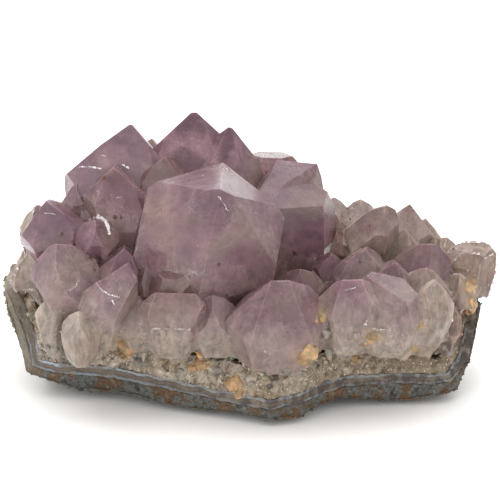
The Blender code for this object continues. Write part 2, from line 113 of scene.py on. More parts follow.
# Every crystal: name; x, y, z of its point; slope of its axis in x and in y; half
# width; length; turn about its axis in degrees; how far the middle of its stem is
# from under the point, across and away; how violet it is; how brown it is.
CRYSTALS = (
    ("main", -7.1, -32.0, 62.0, 0.18, -1.07, 18.0, 50.0, -9.3, -1.1, -3.4, 0.92, 0.12),
    ("tall_right", 17.4, 0.0, 58.4, 0.00, -0.06, 9.0, 48.0, 0.0, -7.2, -4.4, 1.00, 0.12),
    ("right_block", 13.9, -9.2, 49.1, 0.00, -0.05, 8.8, 36.0, -20.0, -1.2, 8.4, 1.00, 0.10),
    ("peak", -14.5, 6.0, 70.4, 0.00, -0.28, 11.5, 56.0, 30.0, 0.0, 0.0, 1.30, 0.10),
    ("peak_right", -5.2, 4.0, 66.9, 0.14, -0.22, 10.0, 50.0, 30.0, 0.0, 0.0, 1.10, 0.15),
    ("left_top", -30.8, 4.0, 67.7, 0.06, -0.20, 14.2, 56.0, 22.0, -4.4, 0.0, 1.00, 0.05),
    ("left_sliver", -25.9, 14.0, 61.0, 0.05, -0.05, 6.0, 45.0, 10.0, 0.0, 0.0, 0.50, 0.20),
    ("left_mid", -34.8, -8.0, 60.0, -0.03, -0.40, 9.4, 46.0, 30.0, 0.5, 0.0, 0.85, 0.20),
    ("left_chip", -44.9, -2.0, 53.5, -0.20, -0.20, 4.8, 32.0, 30.0, 0.0, 0.0, 0.75, 0.10),
    ("left_far", -51.8, -12.0, 52.3, -0.20, -0.35, 9.2, 38.0, 30.0, -0.6, 0.0, 1.30, 0.00),
    ("left_rim", -55.6, 0.0, 48.2, -0.06, -0.10, 6.0, 34.0, 10.0, 0.0, 0.0, 0.35, 0.10),
    ("left_point", -39.0, -18.0, 49.2, -0.05, -0.40, 5.2, 28.0, 30.0, 0.0, 0.0, 1.20, 0.00),
    ("left_low", -48.5, -24.0, 45.0, -0.16, -0.42, 8.8, 34.0, 26.0, 0.6, 0.0, 0.80, 0.00),
    ("left_front", -30.4, -31.0, 42.2, 0.10, -0.38, 8.8, 34.0, 20.0, -3.0, 0.0, 0.75, 0.00),
    ("left_small", -31.6, -22.0, 43.1, 0.05, -0.40, 6.0, 28.0, 30.0, 0.0, 0.0, 0.95, 0.05),
    ("left_milky", -42.6, -33.5, 30.7, -0.05, -0.20, 5.6, 21.0, 30.0, 0.0, 0.0, 0.00, 0.00),
    ("left_milky_2", -50.0, -25.0, 31.5, -0.10, -0.22, 6.0, 24.0, 12.0, 0.0, 0.0, 0.15, 0.05),
    ("left_pale", -57.6, -9.0, 38.0, -0.12, -0.16, 6.2, 30.0, 20.0, 0.0, 0.0, 0.00, 0.15),
    ("front_1", -18.4, -34.0, 35.7, 0.03, -0.26, 7.2, 28.0, 30.0, 0.0, 0.0, 0.62, 0.00),
    ("front_dark", -19.8, -28.0, 38.2, -0.20, -0.45, 6.6, 28.0, 20.0, -2.0, 0.0, 0.90, 0.55),
    ("front_shade", -26.1, -24.0, 38.9, -0.10, -0.40, 5.6, 26.0, 10.0, 0.0, 0.0, 0.85, 0.40),
    ("front_2", 7.4, -35.0, 39.4, 0.06, -0.28, 12.0, 34.0, 36.0, -2.2, 0.0, 0.72, 0.15),
    ("front_3", 25.4, -32.0, 38.5, -0.02, -0.26, 8.4, 30.0, 30.0, -3.4, 0.0, 0.62, 0.05),
    ("front_4", 30.3, -29.0, 38.1, 0.05, -0.24, 9.2, 30.0, 26.0, 5.2, 0.0, 0.55, 0.10),
    ("front_5", 46.2, -27.0, 36.6, 0.10, -0.22, 6.6, 29.0, 34.0, 0.2, 0.0, 0.22, 0.10),
    ("front_behind", 12.6, -22.0, 37.6, 0.05, -0.35, 6.6, 26.0, 30.0, 0.0, 0.0, 0.80, 0.50),
    ("front_low", -9.2, -31.0, 34.0, 0.00, -0.26, 6.4, 27.0, 30.0, 0.0, 0.0, 0.55, 0.05),
    ("front_fill", -28.0, -29.0, 33.0, 0.02, -0.26, 6.0, 25.0, 15.0, 0.0, 0.0, 0.50, 0.10),
    ("front_gap", 16.6, -27.0, 31.0, 0.00, -0.24, 5.4, 24.0, 0.0, 0.0, 0.0, 0.40, 0.40),
    ("right_inner", 21.0, -12.0, 37.8, 0.10, -0.45, 5.8, 26.0, 30.0, 1.4, 0.0, 0.85, 0.20),
    ("right_mid", 29.4, -15.0, 40.4, 0.05, -0.45, 7.4, 28.0, 16.0, 0.0, 0.0, 0.70, 0.12),
    ("right_low", 36.5, -19.0, 38.4, 0.05, -0.42, 6.4, 26.0, 30.0, 0.0, 0.0, 0.65, 0.25),
    ("right_purple", 46.7, -13.0, 41.0, 0.15, -0.42, 8.4, 29.0, 24.0, 0.5, 0.0, 0.85, 0.15),
    ("right_facet", 44.5, -20.0, 37.1, 0.10, -0.35, 6.0, 24.0, 30.0, 0.0, 0.0, 0.35, 0.45),
    ("right_rim", 58.6, -6.0, 38.3, 0.12, -0.12, 7.2, 28.0, 12.0, -1.0, 0.0, 0.10, 0.80),
    ("right_gap", 54.0, -14.0, 34.0, 0.20, -0.22, 6.2, 25.0, 30.0, 0.0, 0.0, 0.05, 0.60),
    ("right_gap_2", 51.5, -19.0, 27.0, 0.12, -0.20, 5.0, 20.0, 10.0, 0.0, 0.0, 0.00, 0.65),
    ("back_right_1", 42.2, 8.0, 44.7, 0.10, -0.12, 7.0, 33.0, 20.0, -1.0, 0.0, 0.55, 0.10),
    ("back_right_2", 35.2, -2.0, 47.7, 0.10, -0.20, 7.0, 33.0, 30.0, -3.6, 0.0, 0.60, 0.45),
    ("back_right_3", 29.6, 14.0, 44.1, 0.05, -0.05, 7.0, 33.0, 30.0, 0.0, 0.0, 0.40, 0.20),
    ("back_right_4", 22.6, 18.0, 43.3, 0.00, 0.05, 4.8, 32.0, 30.0, 0.0, 0.0, 0.30, 0.15),
    ("back_right_5", 46.8, 12.0, 39.4, 0.15, 0.00, 5.4, 30.0, 30.0, 0.0, 0.0, 0.35, 0.20),
    ("back_right_6", 49.2, 6.0, 36.2, 0.10, -0.05, 4.4, 24.0, 30.0, 0.0, 0.0, 0.20, 0.60),
    ("back_right_7", 52.1, 6.0, 36.2, 0.18, -0.05, 4.0, 24.0, 20.0, 0.0, 0.0, 0.25, 0.50),
    ("red_upper", 21.8, 4.0, 44.1, 0.05, -0.25, 4.6, 28.0, 20.0, 0.0, 0.0, 0.60, 1.20),
    ("red_lower", 22.6, -1.0, 40.6, 0.05, -0.30, 4.8, 26.0, 30.0, 0.0, 0.0, 0.50, 1.20),
    ("flat_top", 5.6, 12.0, 56.9, 0.04, 0.00, 7.0, 46.0, 30.0, 0.0, 0.0, 1.00, 0.60),
    ("behind_right", 5.2, 6.0, 54.0, 0.10, -0.15, 8.0, 44.0, 30.0, 0.0, 0.0, 0.80, 0.25),
    ("brown", -21.7, -4.0, 61.5, 0.00, -0.30, 7.4, 42.0, 10.0, 0.0, 0.0, 0.90, 0.80),
    ("ochre", 40.5, 0.0, 40.5, 0.05, -0.25, 5.8, 27.0, 10.0, 0.0, 0.0, 0.15, 0.65),
    ("inner_right_1", 20.5, 11.0, 39.0, 0.05, -0.10, 6.4, 28.0, 14.0, 0.0, 0.0, 0.50, 0.45),
    ("inner_right_2", 25.0, -19.0, 33.0, 0.00, -0.30, 6.2, 24.0, 8.0, 0.0, 0.0, 0.60, 0.30),
    ("inner_right_3", 16.0, -14.0, 34.0, 0.00, -0.30, 6.0, 24.0, 24.0, 0.0, 0.0, 0.75, 0.40),
    ("inner_left_1", -40.0, -22.0, 34.0, 0.00, -0.30, 6.4, 25.0, 8.0, 0.0, 0.0, 0.80, 0.20),
    ("back_1", -48.0, 12.0, 45.0, -0.15, 0.20, 8.4, 36.0, 12.0, 0.0, 0.0, 0.80, 0.10),
    ("back_2", -36.0, 18.0, 53.0, -0.10, 0.28, 10.0, 44.0, 27.0, 0.0, 0.0, 0.90, 0.10),
    ("back_3", -18.0, 21.0, 56.0, -0.02, 0.28, 10.6, 46.0, 5.0, 0.0, 0.0, 0.80, 0.15),
    ("back_4", -1.0, 19.0, 53.0, 0.05, 0.22, 9.0, 44.0, 20.0, 0.0, 0.0, 0.90, 0.15),
    ("back_5", 13.0, 23.0, 45.0, 0.10, 0.30, 8.4, 38.0, 33.0, 0.0, 0.0, 0.75, 0.20),
    ("back_6", -52.0, 20.0, 33.0, -0.22, 0.30, 6.6, 26.0, 18.0, 0.0, 0.0, 0.60, 0.10),
    ("back_7", -42.0, 27.0, 38.0, -0.12, 0.42, 7.6, 32.0, 8.0, 0.0, 0.0, 0.75, 0.10),
    ("back_8", -29.0, 29.0, 42.0, -0.05, 0.42, 8.2, 34.0, 22.0, 0.0, 0.0, 0.85, 0.05),
    ("back_9", -15.0, 31.5, 38.0, 0.00, 0.44, 7.6, 31.0, 30.0, 0.0, 0.0, 0.70, 0.15),
    ("back_10", -3.0, 32.0, 40.0, 0.05, 0.42, 8.0, 33.0, 12.0, 0.0, 0.0, 0.80, 0.05),
    ("back_11", 9.0, 32.0, 33.0, 0.08, 0.44, 7.0, 27.0, 26.0, 0.0, 0.0, 0.65, 0.20),
    ("back_12", 23.0, 26.0, 35.0, 0.10, 0.36, 7.4, 28.0, 4.0, 0.0, 0.0, 0.60, 0.20),
    ("back_13", 35.0, 21.0, 34.0, 0.15, 0.32, 7.0, 27.0, 18.0, 0.0, 0.0, 0.55, 0.25),
    ("back_14", 46.0, 16.0, 29.0, 0.24, 0.28, 6.0, 23.0, 30.0, 0.0, 0.0, 0.40, 0.30),
    ("back_15", 54.0, 4.0, 31.0, 0.28, 0.12, 5.8, 23.0, 10.0, 0.0, 0.0, 0.25, 0.30),
    ("back_16", -58.6, 8.0, 34.0, -0.16, 0.12, 5.6, 24.0, 15.0, 0.0, 0.0, 0.20, 0.10),
)

# How far each side of a crystal is from its axis, and how far each face of its tip
# is set back from the point, as shares of its half width. The first is at the turn,
# the next ones follow at 60 degrees. A crystal that isn't here gets seeded ones.
SIDE_WIDTHS = {
    "main": (1.07, 0.89, 0.84, 0.93, 1.0, 1.01),
    "front_1": (1.0, 0.8, 1.3, 1.15, 0.8, 0.98),
    "left_front": (0.62, 0.95, 1.05, 1.05, 0.95, 0.74),
    "tall_right": (1.12, 1.0, 1.0, 1.0, 1.0, 1.05),
    "left_top": (0.9, 0.9, 0.84, 0.88, 1.0, 0.9),
    "front_2": (0.95, 1.0, 1.0, 1.08, 0.95, 0.95),
    "right_block": (1.0, 1.0, 1.0, 1.0, 1.4, 0.98),
}
FACE_SETBACKS = {
    "main": (0.18, 0.02, 0.0, 0.13, 0.13, 0.16),
    "peak": (0.15, 0.15, 0.15, 0.34, 0.0, 0.14),
    "peak_right": (0.05, 0.06, 0.10, 0.08, 0.0, 0.0),
    "front_1": (0.45, 0.0, 0.50, 0.45, 0.0, 0.50),
    "front_2": (0.18, 0.02, 0.34, 0.36, 0.06, 0.0),
    "tall_right": (0.9, 0.9, 0.9, 0.9, 0.9, 0.9),
    "right_block": (0.9, 0.9, 0.9, 0.9, 0.9, 0.9),
    "left_top": (0.06, 0.15, 0.20, 0.34, 0.0, 0.14),
    "flat_top": (0.55, 0.55, 0.55, 0.55, 0.55, 0.55),
    "right_rim": (0.5, 0.4, 0.5, 0.5, 0.4, 0.5),
    "front_dark": (0.35, 0.35, 0.35, 0.35, 0.35, 0.35),
    "front_3": (0.10, 0.0, 0.50, 0.45, 0.08, 0.05),
    "front_4": (0.6, 0.2, 0.1, 0.15, 0.1, 0.6),
}
# Tips with other faces: where each one faces and how steep it is, in degrees, and how far
# it is set back from the point, as a share of the half width.
FLAT_TIPS = {
    "tall_right": (
        (255.0, 30.0, 0.0), (240.0, 42.0, 0.3), (285.0, 60.0, 0.0), (330.0, 80.0, 0.0), (20.0, 60.0, 0.0),
        (75.0, 75.0, 0.0), (270.0, 90.0, 1.0),
    ),
    "right_block": ((280.0, 36.0, 0.0),),
    "flat_top": ((90.0, 8.0, 0.0),),
    "right_rim": ((190.0, 10.0, 0.0),),
    "back_right_2": ((150.0, 34.0, 0.0),),
    "front_dark": ((60.0, 20.0, 0.0),),
    "front_4": ((345.0, 22.0, 0.0),),
}
# Crystals that are rounded further up: by how many half widths.
WORN_DOWN = {
    "right_rim": 2.0, "left_pale": 2.0, "left_rim": 2.0, "right_gap": 1.5, "left_milky_2": 1.0,
    "front_1": 0.8, "front_3": 0.8, "front_4": 0.8, "front_5": 0.8, "front_2": 0.4, "left_milky": 0.6,
}

# Where the photograph shows iron stains on the roots: pixel, radius in millimetres.
STAINS_SEEN_AT = (
    (123, 348, 4.2), (203, 362, 3.0), (234, 380, 3.6), (307, 358, 4.2), (371, 338, 2.6),
    (355, 358, 2.4), (470, 288, 2.8), (474, 304, 3.2), (468, 335, 3.0), (420, 326, 1.8),
    (321, 318, 2.0), (238, 392, 2.6), (413, 350, 2.0), (194, 366, 2.2),
)
# Where it shows dark, clear-looking quartz in the hollows between the roots, which dark lumps fill as painted shade.
HOLLOWS_SEEN_AT = (
    (146, 353, 3.6), (139, 361, 2.8), (52, 350, 2.6), (217, 372, 2.6), (326, 330, 2.2),
    (446, 352, 2.6), (288, 372, 2.4), (62, 362, 2.2), (180, 372, 2.2),
)
# Where it shows white glints off chipped edges, painted on as near-white flakes: width in pixels and a path of pixels.
PAINTED_GLINTS_AT = (
    (3.4, ((90, 220), (97, 217), (104, 219), (108, 226), (109, 234))),
    (2.6, ((96, 217), (104, 219), (107, 226))),
    (1.5, ((80, 167), (92, 167), (101, 169))),
    (1.8, ((123, 165), (129, 168))),
    (0.8, ((102, 155), (106, 157))),
    (0.7, ((96, 190), (99, 193))),
    (0.7, ((116, 198), (121, 197))),
    (0.7, ((74, 211), (84, 213))),
    (0.8, ((45, 213), (55, 214))),
    (0.9, ((70, 290), (75, 287), (78, 281))),
    (1.1, ((96, 283), (102, 290), (110, 295), (119, 297))),
    (1.2, ((110, 297), (114, 304))),
    (0.8, ((165, 271), (170, 270), (176, 272), (182, 271))),
    (0.7, ((184, 275), (190, 281), (196, 287), (201, 292))),
    (0.8, ((345, 290), (355, 288))),
    (0.8, ((372, 302), (374, 305))),
    (0.7, ((349, 204), (352, 206))),
    (0.6, ((318, 291), (327, 282), (338, 279))),
    (0.6, ((377, 279), (390, 287), (404, 292), (414, 290))),
    (0.6, ((432, 282), (445, 285), (451, 293))),
    (0.7, ((186, 275), (194, 272), (200, 276))),
    (0.6, ((241, 178), (250, 184), (258, 189))),
    (0.8, ((219, 197), (223, 202), (228, 211))),
)
# Where it shows small brown specks: pixel, width in pixels.
SPECKS_SEEN_AT = (
    (219, 265, 2.0), (295, 253, 2.0), (115, 217, 2.4), (62, 234, 2.2), (104, 178, 2.0), (461, 252, 1.6),
    (360, 262, 1.6), (121, 218, 1.8), (111, 224, 1.6), (90, 258, 2.0), (142, 276, 1.6), (227, 295, 2.0),
    (453, 249, 1.5), (293, 252, 1.4), (94, 270, 1.4), (348, 209, 1.2), (330, 300, 1.0), (72, 242, 1.2),
    (186, 179, 0.7), (189, 180, 0.8), (193, 180, 0.7), (190, 168, 0.6), (194, 167, 0.7), (198, 166, 0.6),
    (202, 165, 0.6), (212, 229, 0.7), (216, 230, 0.6), (246, 180, 0.8), (249, 181, 0.9),
)
VEILED_FROM = 6.5  # half width of the least crystal with healed fractures inside

BLOCK_HEIGHT = 25.0  # top of the massive quartz that fills the gaps between roots
NO_CRYSTAL = -1


def linear(code):
    """The linear colour of an sRGB hex value."""
    shares = [int(code[k:k + 2], 16) / 255.0 for k in (1, 3, 5)]
    return tuple(v / 12.92 if v <= 0.04045 else ((v + 0.055) / 1.055) ** 2.4 for v in shares)


def shade(colour, factor):
    """A colour made darker or lighter."""
    return tuple(min(1.0, share * factor) for share in colour)


def colour_property(name, code, description):
    return bpy.props.FloatVectorProperty(
        name=name, description=description, subtype="COLOR", size=3, min=0.0, max=1.0, default=linear(code)
    )


def length_property(name, millimetres, description):
    return bpy.props.FloatProperty(
        name=name, description=description, unit="LENGTH", min=0.0, precision=5, default=millimetres * MM
    )


class ClusterSizes(bpy.types.PropertyGroup):
    """Sizes of the fine shapes."""

    chamfer: length_property("Edge wear", 0.2, "Width of the worn strip along a crystal's edge")
    root_mesh: length_property("Root mesh", 1.15, "Longest edge on the rounded roots")
    flute_depth: length_property("Flute depth", 1.9, "Depth of the upright flutes on the roots")
    foot_depth: length_property("Foot depth", 2.6, "How far the roots draw in where they meet the wall")
    wall_mesh: length_property("Wall mesh", 0.6, "Edge length on the rough wall")
    rock_relief: length_property("Rock relief", 1.2, "Depth of the hollows in the host rock")
    grain_size: length_property("Grain size", 1.5, "Mean width of a quartz grain")
    grains: bpy.props.IntProperty(name="Grains", description="How many grains of each kind", default=420)


class ClusterColours(bpy.types.PropertyGroup):
    """Colours of the minerals."""

    violet: colour_property("Violet", "#a98693", "Amethyst near the points")
    deep_violet: colour_property("Deep violet", "#745064", "Amethyst in the dark growth zones")
    tan: colour_property("Tan", "#a18b7c", "Amethyst with pale clouds")
    milky: colour_property("Milky", "#afa296", "Clouded quartz of the roots")
    brown: colour_property("Brown", "#7c5a4e", "Amethyst with iron in it")
    rust: colour_property("Rust", "#b3905f", "Iron stain on the roots")
    grain: colour_property("Grain", "#94866f", "Granular quartz")
    agate_line: colour_property("Agate line", "#9aa0a6", "Pale line of the agate")
    agate_brown: colour_property("Agate brown", "#6f5f52", "Brown band of the agate")
    rock: colour_property("Rock", "#6b604f", "Host rock")


def alone(piece):
    """Selects one object and nothing else."""
    bpy.ops.object.select_all(action="DESELECT")
    piece.select_set(True)
    bpy.context.view_layer.objects.active = piece


def apply_modifier(piece, kind, **settings):
    alone(piece)
    modifier = piece.modifiers.new(kind.lower(), kind)
    for setting, value in settings.items():
        setattr(modifier, setting, value)
    bpy.ops.object.modifier_apply(modifier=modifier.name)


def cut_away(point, normal):
    """In edit mode: takes off what is beyond a plane and closes the cut."""
    bpy.ops.mesh.select_all(action="SELECT")
    bpy.ops.mesh.bisect(plane_co=point, plane_no=normal, use_fill=True, clear_outer=True, threshold=1e-7)


def crystal_frame(slope_x, slope_y):
    axis = Vector((slope_x, slope_y, 1.0)).normalized()
    right = Vector((1.0, 0.0, 0.0))
    right = (right - axis * right.dot(axis)).normalized()
    return right, axis.cross(right), axis


def bounding_planes(row):
    """The flat faces of a crystal, each as a point and an outward normal."""
    name, x, y, z, slope_x, slope_y, half, length, turn, across, away, _, _ = row
    right, back, axis = crystal_frame(slope_x, slope_y)
    tip = (Vector((x, y, z)) - FOOTPRINT_MIDDLE) * MM
    half *= MM
    length *= MM
    stem = tip + (right * across + back * away) * MM
    dice = random.Random(name)
    widths = SIDE_WIDTHS.get(name) or [dice.uniform(0.88, 1.10) for _ in range(SIDES)]
    first = dice.randrange(2)
    setbacks = FACE_SETBACKS.get(name) or [
        (0.0 if k % 2 == first else 0.16) + dice.uniform(0.0, 0.12) for k in range(SIDES)
    ]
    shoulder = half * SHOULDER_DROP
    start, lean = EARLY_ROOTS.get(name, (ROOT_START, ROOT_TAPER))
    root = max(length * start, shoulder + 0.1 * half)
    planes = []
    for k in range(SIDES):
        angle = math.radians(turn + 360.0 / SIDES * k)
        outward = right * math.cos(angle) + back * math.sin(angle)
        reach = half * widths[k]
        side = stem - axis * shoulder + outward * reach
        planes.append((side, (outward + axis * STEM_TAPER).normalized()))
        planes.append((side, (outward - axis * BODY_TAPER).normalized()))
        side = stem - axis * root + outward * (reach - (root - shoulder) * BODY_TAPER)
        planes.append((side, (outward - axis * lean).normalized()))
        face = outward * math.sin(TIP_FACE_ANGLE) + axis * math.cos(TIP_FACE_ANGLE)
        planes.append((tip + face * half * setbacks[k], face))
    for facing, steep, setback in FLAT_TIPS.get(name, ()):
        facing, steep = math.radians(facing), math.radians(steep)
        outward = right * math.cos(facing) + back * math.sin(facing)
        face = outward * math.sin(steep) + axis * math.cos(steep)
        planes.append((tip + face * half * setback, face))
    return planes


class Form:
    """One crystal as numbers: where it points, and the planes that bound it."""

    def __init__(self, row, planes, shift):
        self.name = row[0]
        self.tip = (Vector(row[1:4]) - FOOTPRINT_MIDDLE) * MM
        self.axis = crystal_frame(row[4], row[5])[2]
        self.half = row[6] * MM
        self.violet, self.brown = row[11:13]
        self.normals = np.array([normal[:] for _, normal in planes])
        points = np.array([(point + shift)[:] for point, _ in planes])
        self.offsets = np.sum(self.normals * points, axis=1)

    def outside(self, points):
        """How far points are outside the crystal, negative for those inside it."""
        return np.max(points @ self.normals.T - self.offsets, axis=1)

    def below_tip(self, points):
        """How far points are below the tip, along the axis, in half widths."""
        return (np.array(self.tip) - points) @ np.array(self.axis) / self.half


def wear_edges(piece, width, least_angle=math.radians(24.0)):
    """In edit mode: a narrow flat strip along every sharp edge of a convex body."""
    builder = bmesh.from_edit_mesh(piece.data)
    strips = []
    for edge in builder.edges:
        first, second = (face.normal for face in edge.link_faces)
        angle = first.angle(second)
        if angle > least_angle:
            outward = (first + second).normalized()
            middle = (edge.verts[0].co + edge.verts[1].co) / 2.0
            strips.append((middle - outward * width / 2.0 * math.tan(angle / 2.0), outward))
    for point, outward in strips:
        cut_away(point, outward)


def cut_crystal(row, chamfer):
    """A crystal cut from a block, one flat face at a time. Returns it and its form."""
    name, half, length = row[0], row[6] * MM, row[7] * MM
    right, back, axis = crystal_frame(row[4], row[5])
    tip = (Vector(row[1:4]) - FOOTPRINT_MIDDLE) * MM
    stem = tip + (right * row[9] + back * row[10]) * MM
    turned = Matrix((right, back, axis)).transposed().to_euler()
    bpy.ops.mesh.primitive_cube_add(
        size=1.0, location=stem, rotation=turned, scale=(6.0 * half, 6.0 * half, 2.0 * length)
    )
    piece = bpy.context.object
    piece.name = name
    bpy.ops.object.transform_apply(location=True, rotation=True, scale=True)
    bpy.ops.object.mode_set(mode="EDIT")
    planes = bounding_planes(row)
    for point, normal in planes:
        cut_away(point, normal)
    shift = Vector()
    if name not in FLAT_TIPS:
        corners = [vert.co.copy() for vert in bmesh.from_edit_mesh(piece.data).verts]
        top = max(axis.dot(corner) for corner in corners)
        ends = [corner for corner in corners if axis.dot(corner) > top - 0.05 * half]
        shift = tip - sum(ends, Vector()) / len(ends)
        bpy.ops.mesh.select_all(action="SELECT")
        bpy.ops.transform.translate(value=shift)
    wear_edges(piece, chamfer)
    bpy.ops.object.mode_set(mode="OBJECT")
    return piece, Form(row, planes, shift)


def copy_of_node(node, name):
    """A closed copy of a solid of the frame, to work on."""
    piece = bpy.data.objects.new(name, frame["nodes"][node].data.copy())
    bpy.context.scene.collection.objects.link(piece)
    piece.data.materials.clear()
    while piece.data.uv_layers:
        piece.data.uv_layers.remove(piece.data.uv_layers[0])
    alone(piece)
    bpy.ops.mesh.customdata_custom_splitnormals_clear()
    bpy.ops.object.mode_set(mode="EDIT")
    bpy.ops.mesh.select_all(action="SELECT")
    bpy.ops.mesh.remove_doubles(threshold=2e-6)
    bpy.ops.object.mode_set(mode="OBJECT")
    return piece


def keep_largest_body(piece):
    """Deletes the crumbs that a cut leaves beside the main body."""
    builder = bmesh.new()
    builder.from_mesh(piece.data)
    bodies = []
    left = set(builder.verts)
    while left:
        body = [left.pop()]
        for vert in body:
            for edge in vert.link_edges:
                other = edge.other_vert(vert)
                if other in left:
                    left.remove(other)
                    body.append(other)
        bodies.append(body)
    bodies.sort(key=len)
    for body in bodies[:-1]:
        bmesh.ops.delete(builder, geom=body, context="VERTS")
    builder.to_mesh(piece.data)
    builder.free()


def corner_points(mesh):
    points = np.empty(len(mesh.vertices) * 3)
    mesh.vertices.foreach_get("co", points)
    return points.reshape(-1, 3)


def face_centres(mesh):
    centres = np.empty(len(mesh.polygons) * 3)
    mesh.polygons.foreach_get("center", centres)
    return centres.reshape(-1, 3)


def name_faces(piece, forms):
    """Writes on each face the number of its crystal, and whether it is a worn edge."""
    centres = face_centres(piece.data)
    facing = np.empty(len(centres) * 3)
    piece.data.polygons.foreach_get("normal", facing)
    facing = facing.reshape(-1, 3)
    nearest = np.full(len(centres), 2.5 * MM)
    owner = np.full(len(centres), NO_CRYSTAL)
    worn = np.zeros(len(centres))
    for number, form in enumerate(forms):
        off = np.abs(form.outside(centres))
        closer = off < nearest
        nearest[closer] = off[closer]
        owner[closer] = number
        worn[closer] = np.max(facing[closer] @ form.normals.T, axis=1) < math.cos(math.radians(5.0))
    piece.data.attributes.new("crystal", "INT", "FACE").data.foreach_set("value", owner)
    write_attribute(piece.data, "worn_edge", "FACE", worn)


def face_owners(mesh):
    owner = np.empty(len(mesh.polygons), dtype=np.int32)
    mesh.attributes["crystal"].data.foreach_get("value", owner)
    return owner


def worn_shares(piece, forms):
    """For each corner of the mesh, 0 on a crisp point and 1 on a rounded root."""
    mesh = piece.data
    points = corner_points(mesh)
    owner = face_owners(mesh)
    depth = np.full(len(points), np.inf)
    for number, form in enumerate(forms):
        faces = np.nonzero(owner == number)[0]
        touched = {v for face in faces for v in mesh.polygons[face].vertices}
        touched = np.fromiter(touched, int, len(touched))
        if len(touched):
            offset = WORN_DOWN.get(form.name, 0.0)
            depth[touched] = np.minimum(depth[touched], form.below_tip(points[touched]) + offset)
    depth[np.isinf(depth)] = 9.0
    share = np.clip((depth - 1.15) / 0.9, 0.0, 1.0)
    return share * share * (3.0 - 2.0 * share)


def refine(piece, longest, forms, rounds=5):
    """Splits the long edges of the roots, and leaves the flat faces of the points whole."""
    alone(piece)
    bpy.ops.object.mode_set(mode="EDIT")
    bpy.ops.mesh.select_mode(type="EDGE")
    for _ in range(rounds):
        bpy.ops.object.mode_set(mode="OBJECT")
        share = worn_shares(piece, forms)
        mesh = piece.data
        ends = np.empty(len(mesh.edges) * 2, dtype=np.int32)
        mesh.edges.foreach_get("vertices", ends)
        ends = ends.reshape(-1, 2)
        points = corner_points(mesh)
        length = np.linalg.norm(points[ends[:, 0]] - points[ends[:, 1]], axis=1)
        wanted = (length > longest) & (np.max(share[ends], axis=1) > 0.01)
        mesh.polygons.foreach_set("select", np.zeros(len(mesh.polygons), dtype=bool))
        mesh.vertices.foreach_set("select", np.zeros(len(mesh.vertices), dtype=bool))
        mesh.edges.foreach_set("select", wanted)
        bpy.ops.object.mode_set(mode="EDIT")
        if not wanted.any():
            break
        bpy.ops.mesh.subdivide(number_cuts=1)
        bpy.ops.mesh.select_all(action="SELECT")
        bpy.ops.mesh.quads_convert_to_tris(quad_method="BEAUTY", ngon_method="BEAUTY")
    bpy.ops.mesh.select_all(action="SELECT")
    bpy.ops.mesh.beautify_fill(angle_limit=math.radians(4.0))
    bpy.ops.object.mode_set(mode="OBJECT")


def add_group(piece, name, shares):
    group = piece.vertex_groups.new(name=name)
    for level in range(1, 21):
        share = level / 20.0
        chosen = np.nonzero(np.round(shares * 20.0) == level)[0]
        group.add([int(v) for v in chosen], share, "REPLACE")
    return group.name


def texture(kind, size, **settings):
    """A pattern for a Displace modifier, with features about as wide as size."""
    made = bpy.data.textures.new(f"{kind.lower()}_{size / MM:.1f}", kind)
    made.noise_scale = size
    for setting, value in settings.items():
        setattr(made, setting, value)
    return made


def stretched_space(scale, shift=(0.0, 0.0, 0.0)):
    """An empty whose space stretches a pattern, for a Displace modifier."""
    bpy.ops.object.empty_add(location=shift)
    space = bpy.context.object
    space.scale = scale
    bpy.context.view_layer.update()
    return space


def in_view(u, v):
    """The ray of the photograph's camera through a pixel: where it starts and its direction."""
    toward = Vector((0.0, -math.cos(CAMERA_ELEVATION), math.sin(CAMERA_ELEVATION)))
    up = Vector((0.0, math.sin(CAMERA_ELEVATION), math.cos(CAMERA_ELEVATION)))
    across = (u / PHOTO_SIDE - 0.5) * SENSOR
    down = (v / PHOTO_SIDE - 0.5) * SENSOR
    ray = Vector((1.0, 0.0, 0.0)) * across - up * down - toward * LENS
    return CAMERA_TARGET + toward * CAMERA_DISTANCE, ray.normalized()


def first_hit(trees, u, v):
    """The nearest surface seen at a pixel, as a point and the direction it faces, or None."""
    start, ray = in_view(u, v)
    hits = [hit for hit in (tree.ray_cast(start, ray) for tree in trees) if hit[0] is not None]
    if not hits:
        return None
    nearest = min(hits, key=lambda hit: hit[3])
    return nearest[0], nearest[1]


def tree_of(piece):
    builder = bmesh.new()
    builder.from_mesh(piece.data)
    tree = BVHTree.FromBMesh(builder)
    builder.free()
    return tree


def write_attribute(mesh, name, domain, values, kind="FLOAT"):
    if name in mesh.attributes:
        mesh.attributes.remove(mesh.attributes[name])
    mesh.attributes.new(name, kind, domain).data.foreach_set("value", values)


def above_wall(points):
    """How far points are from the granular quartz, in millimetres."""
    wall = tree_of(frame["nodes"]["granular_quartz"])
    return np.array([wall.find_nearest(Vector(point))[3] for point in points]) / MM


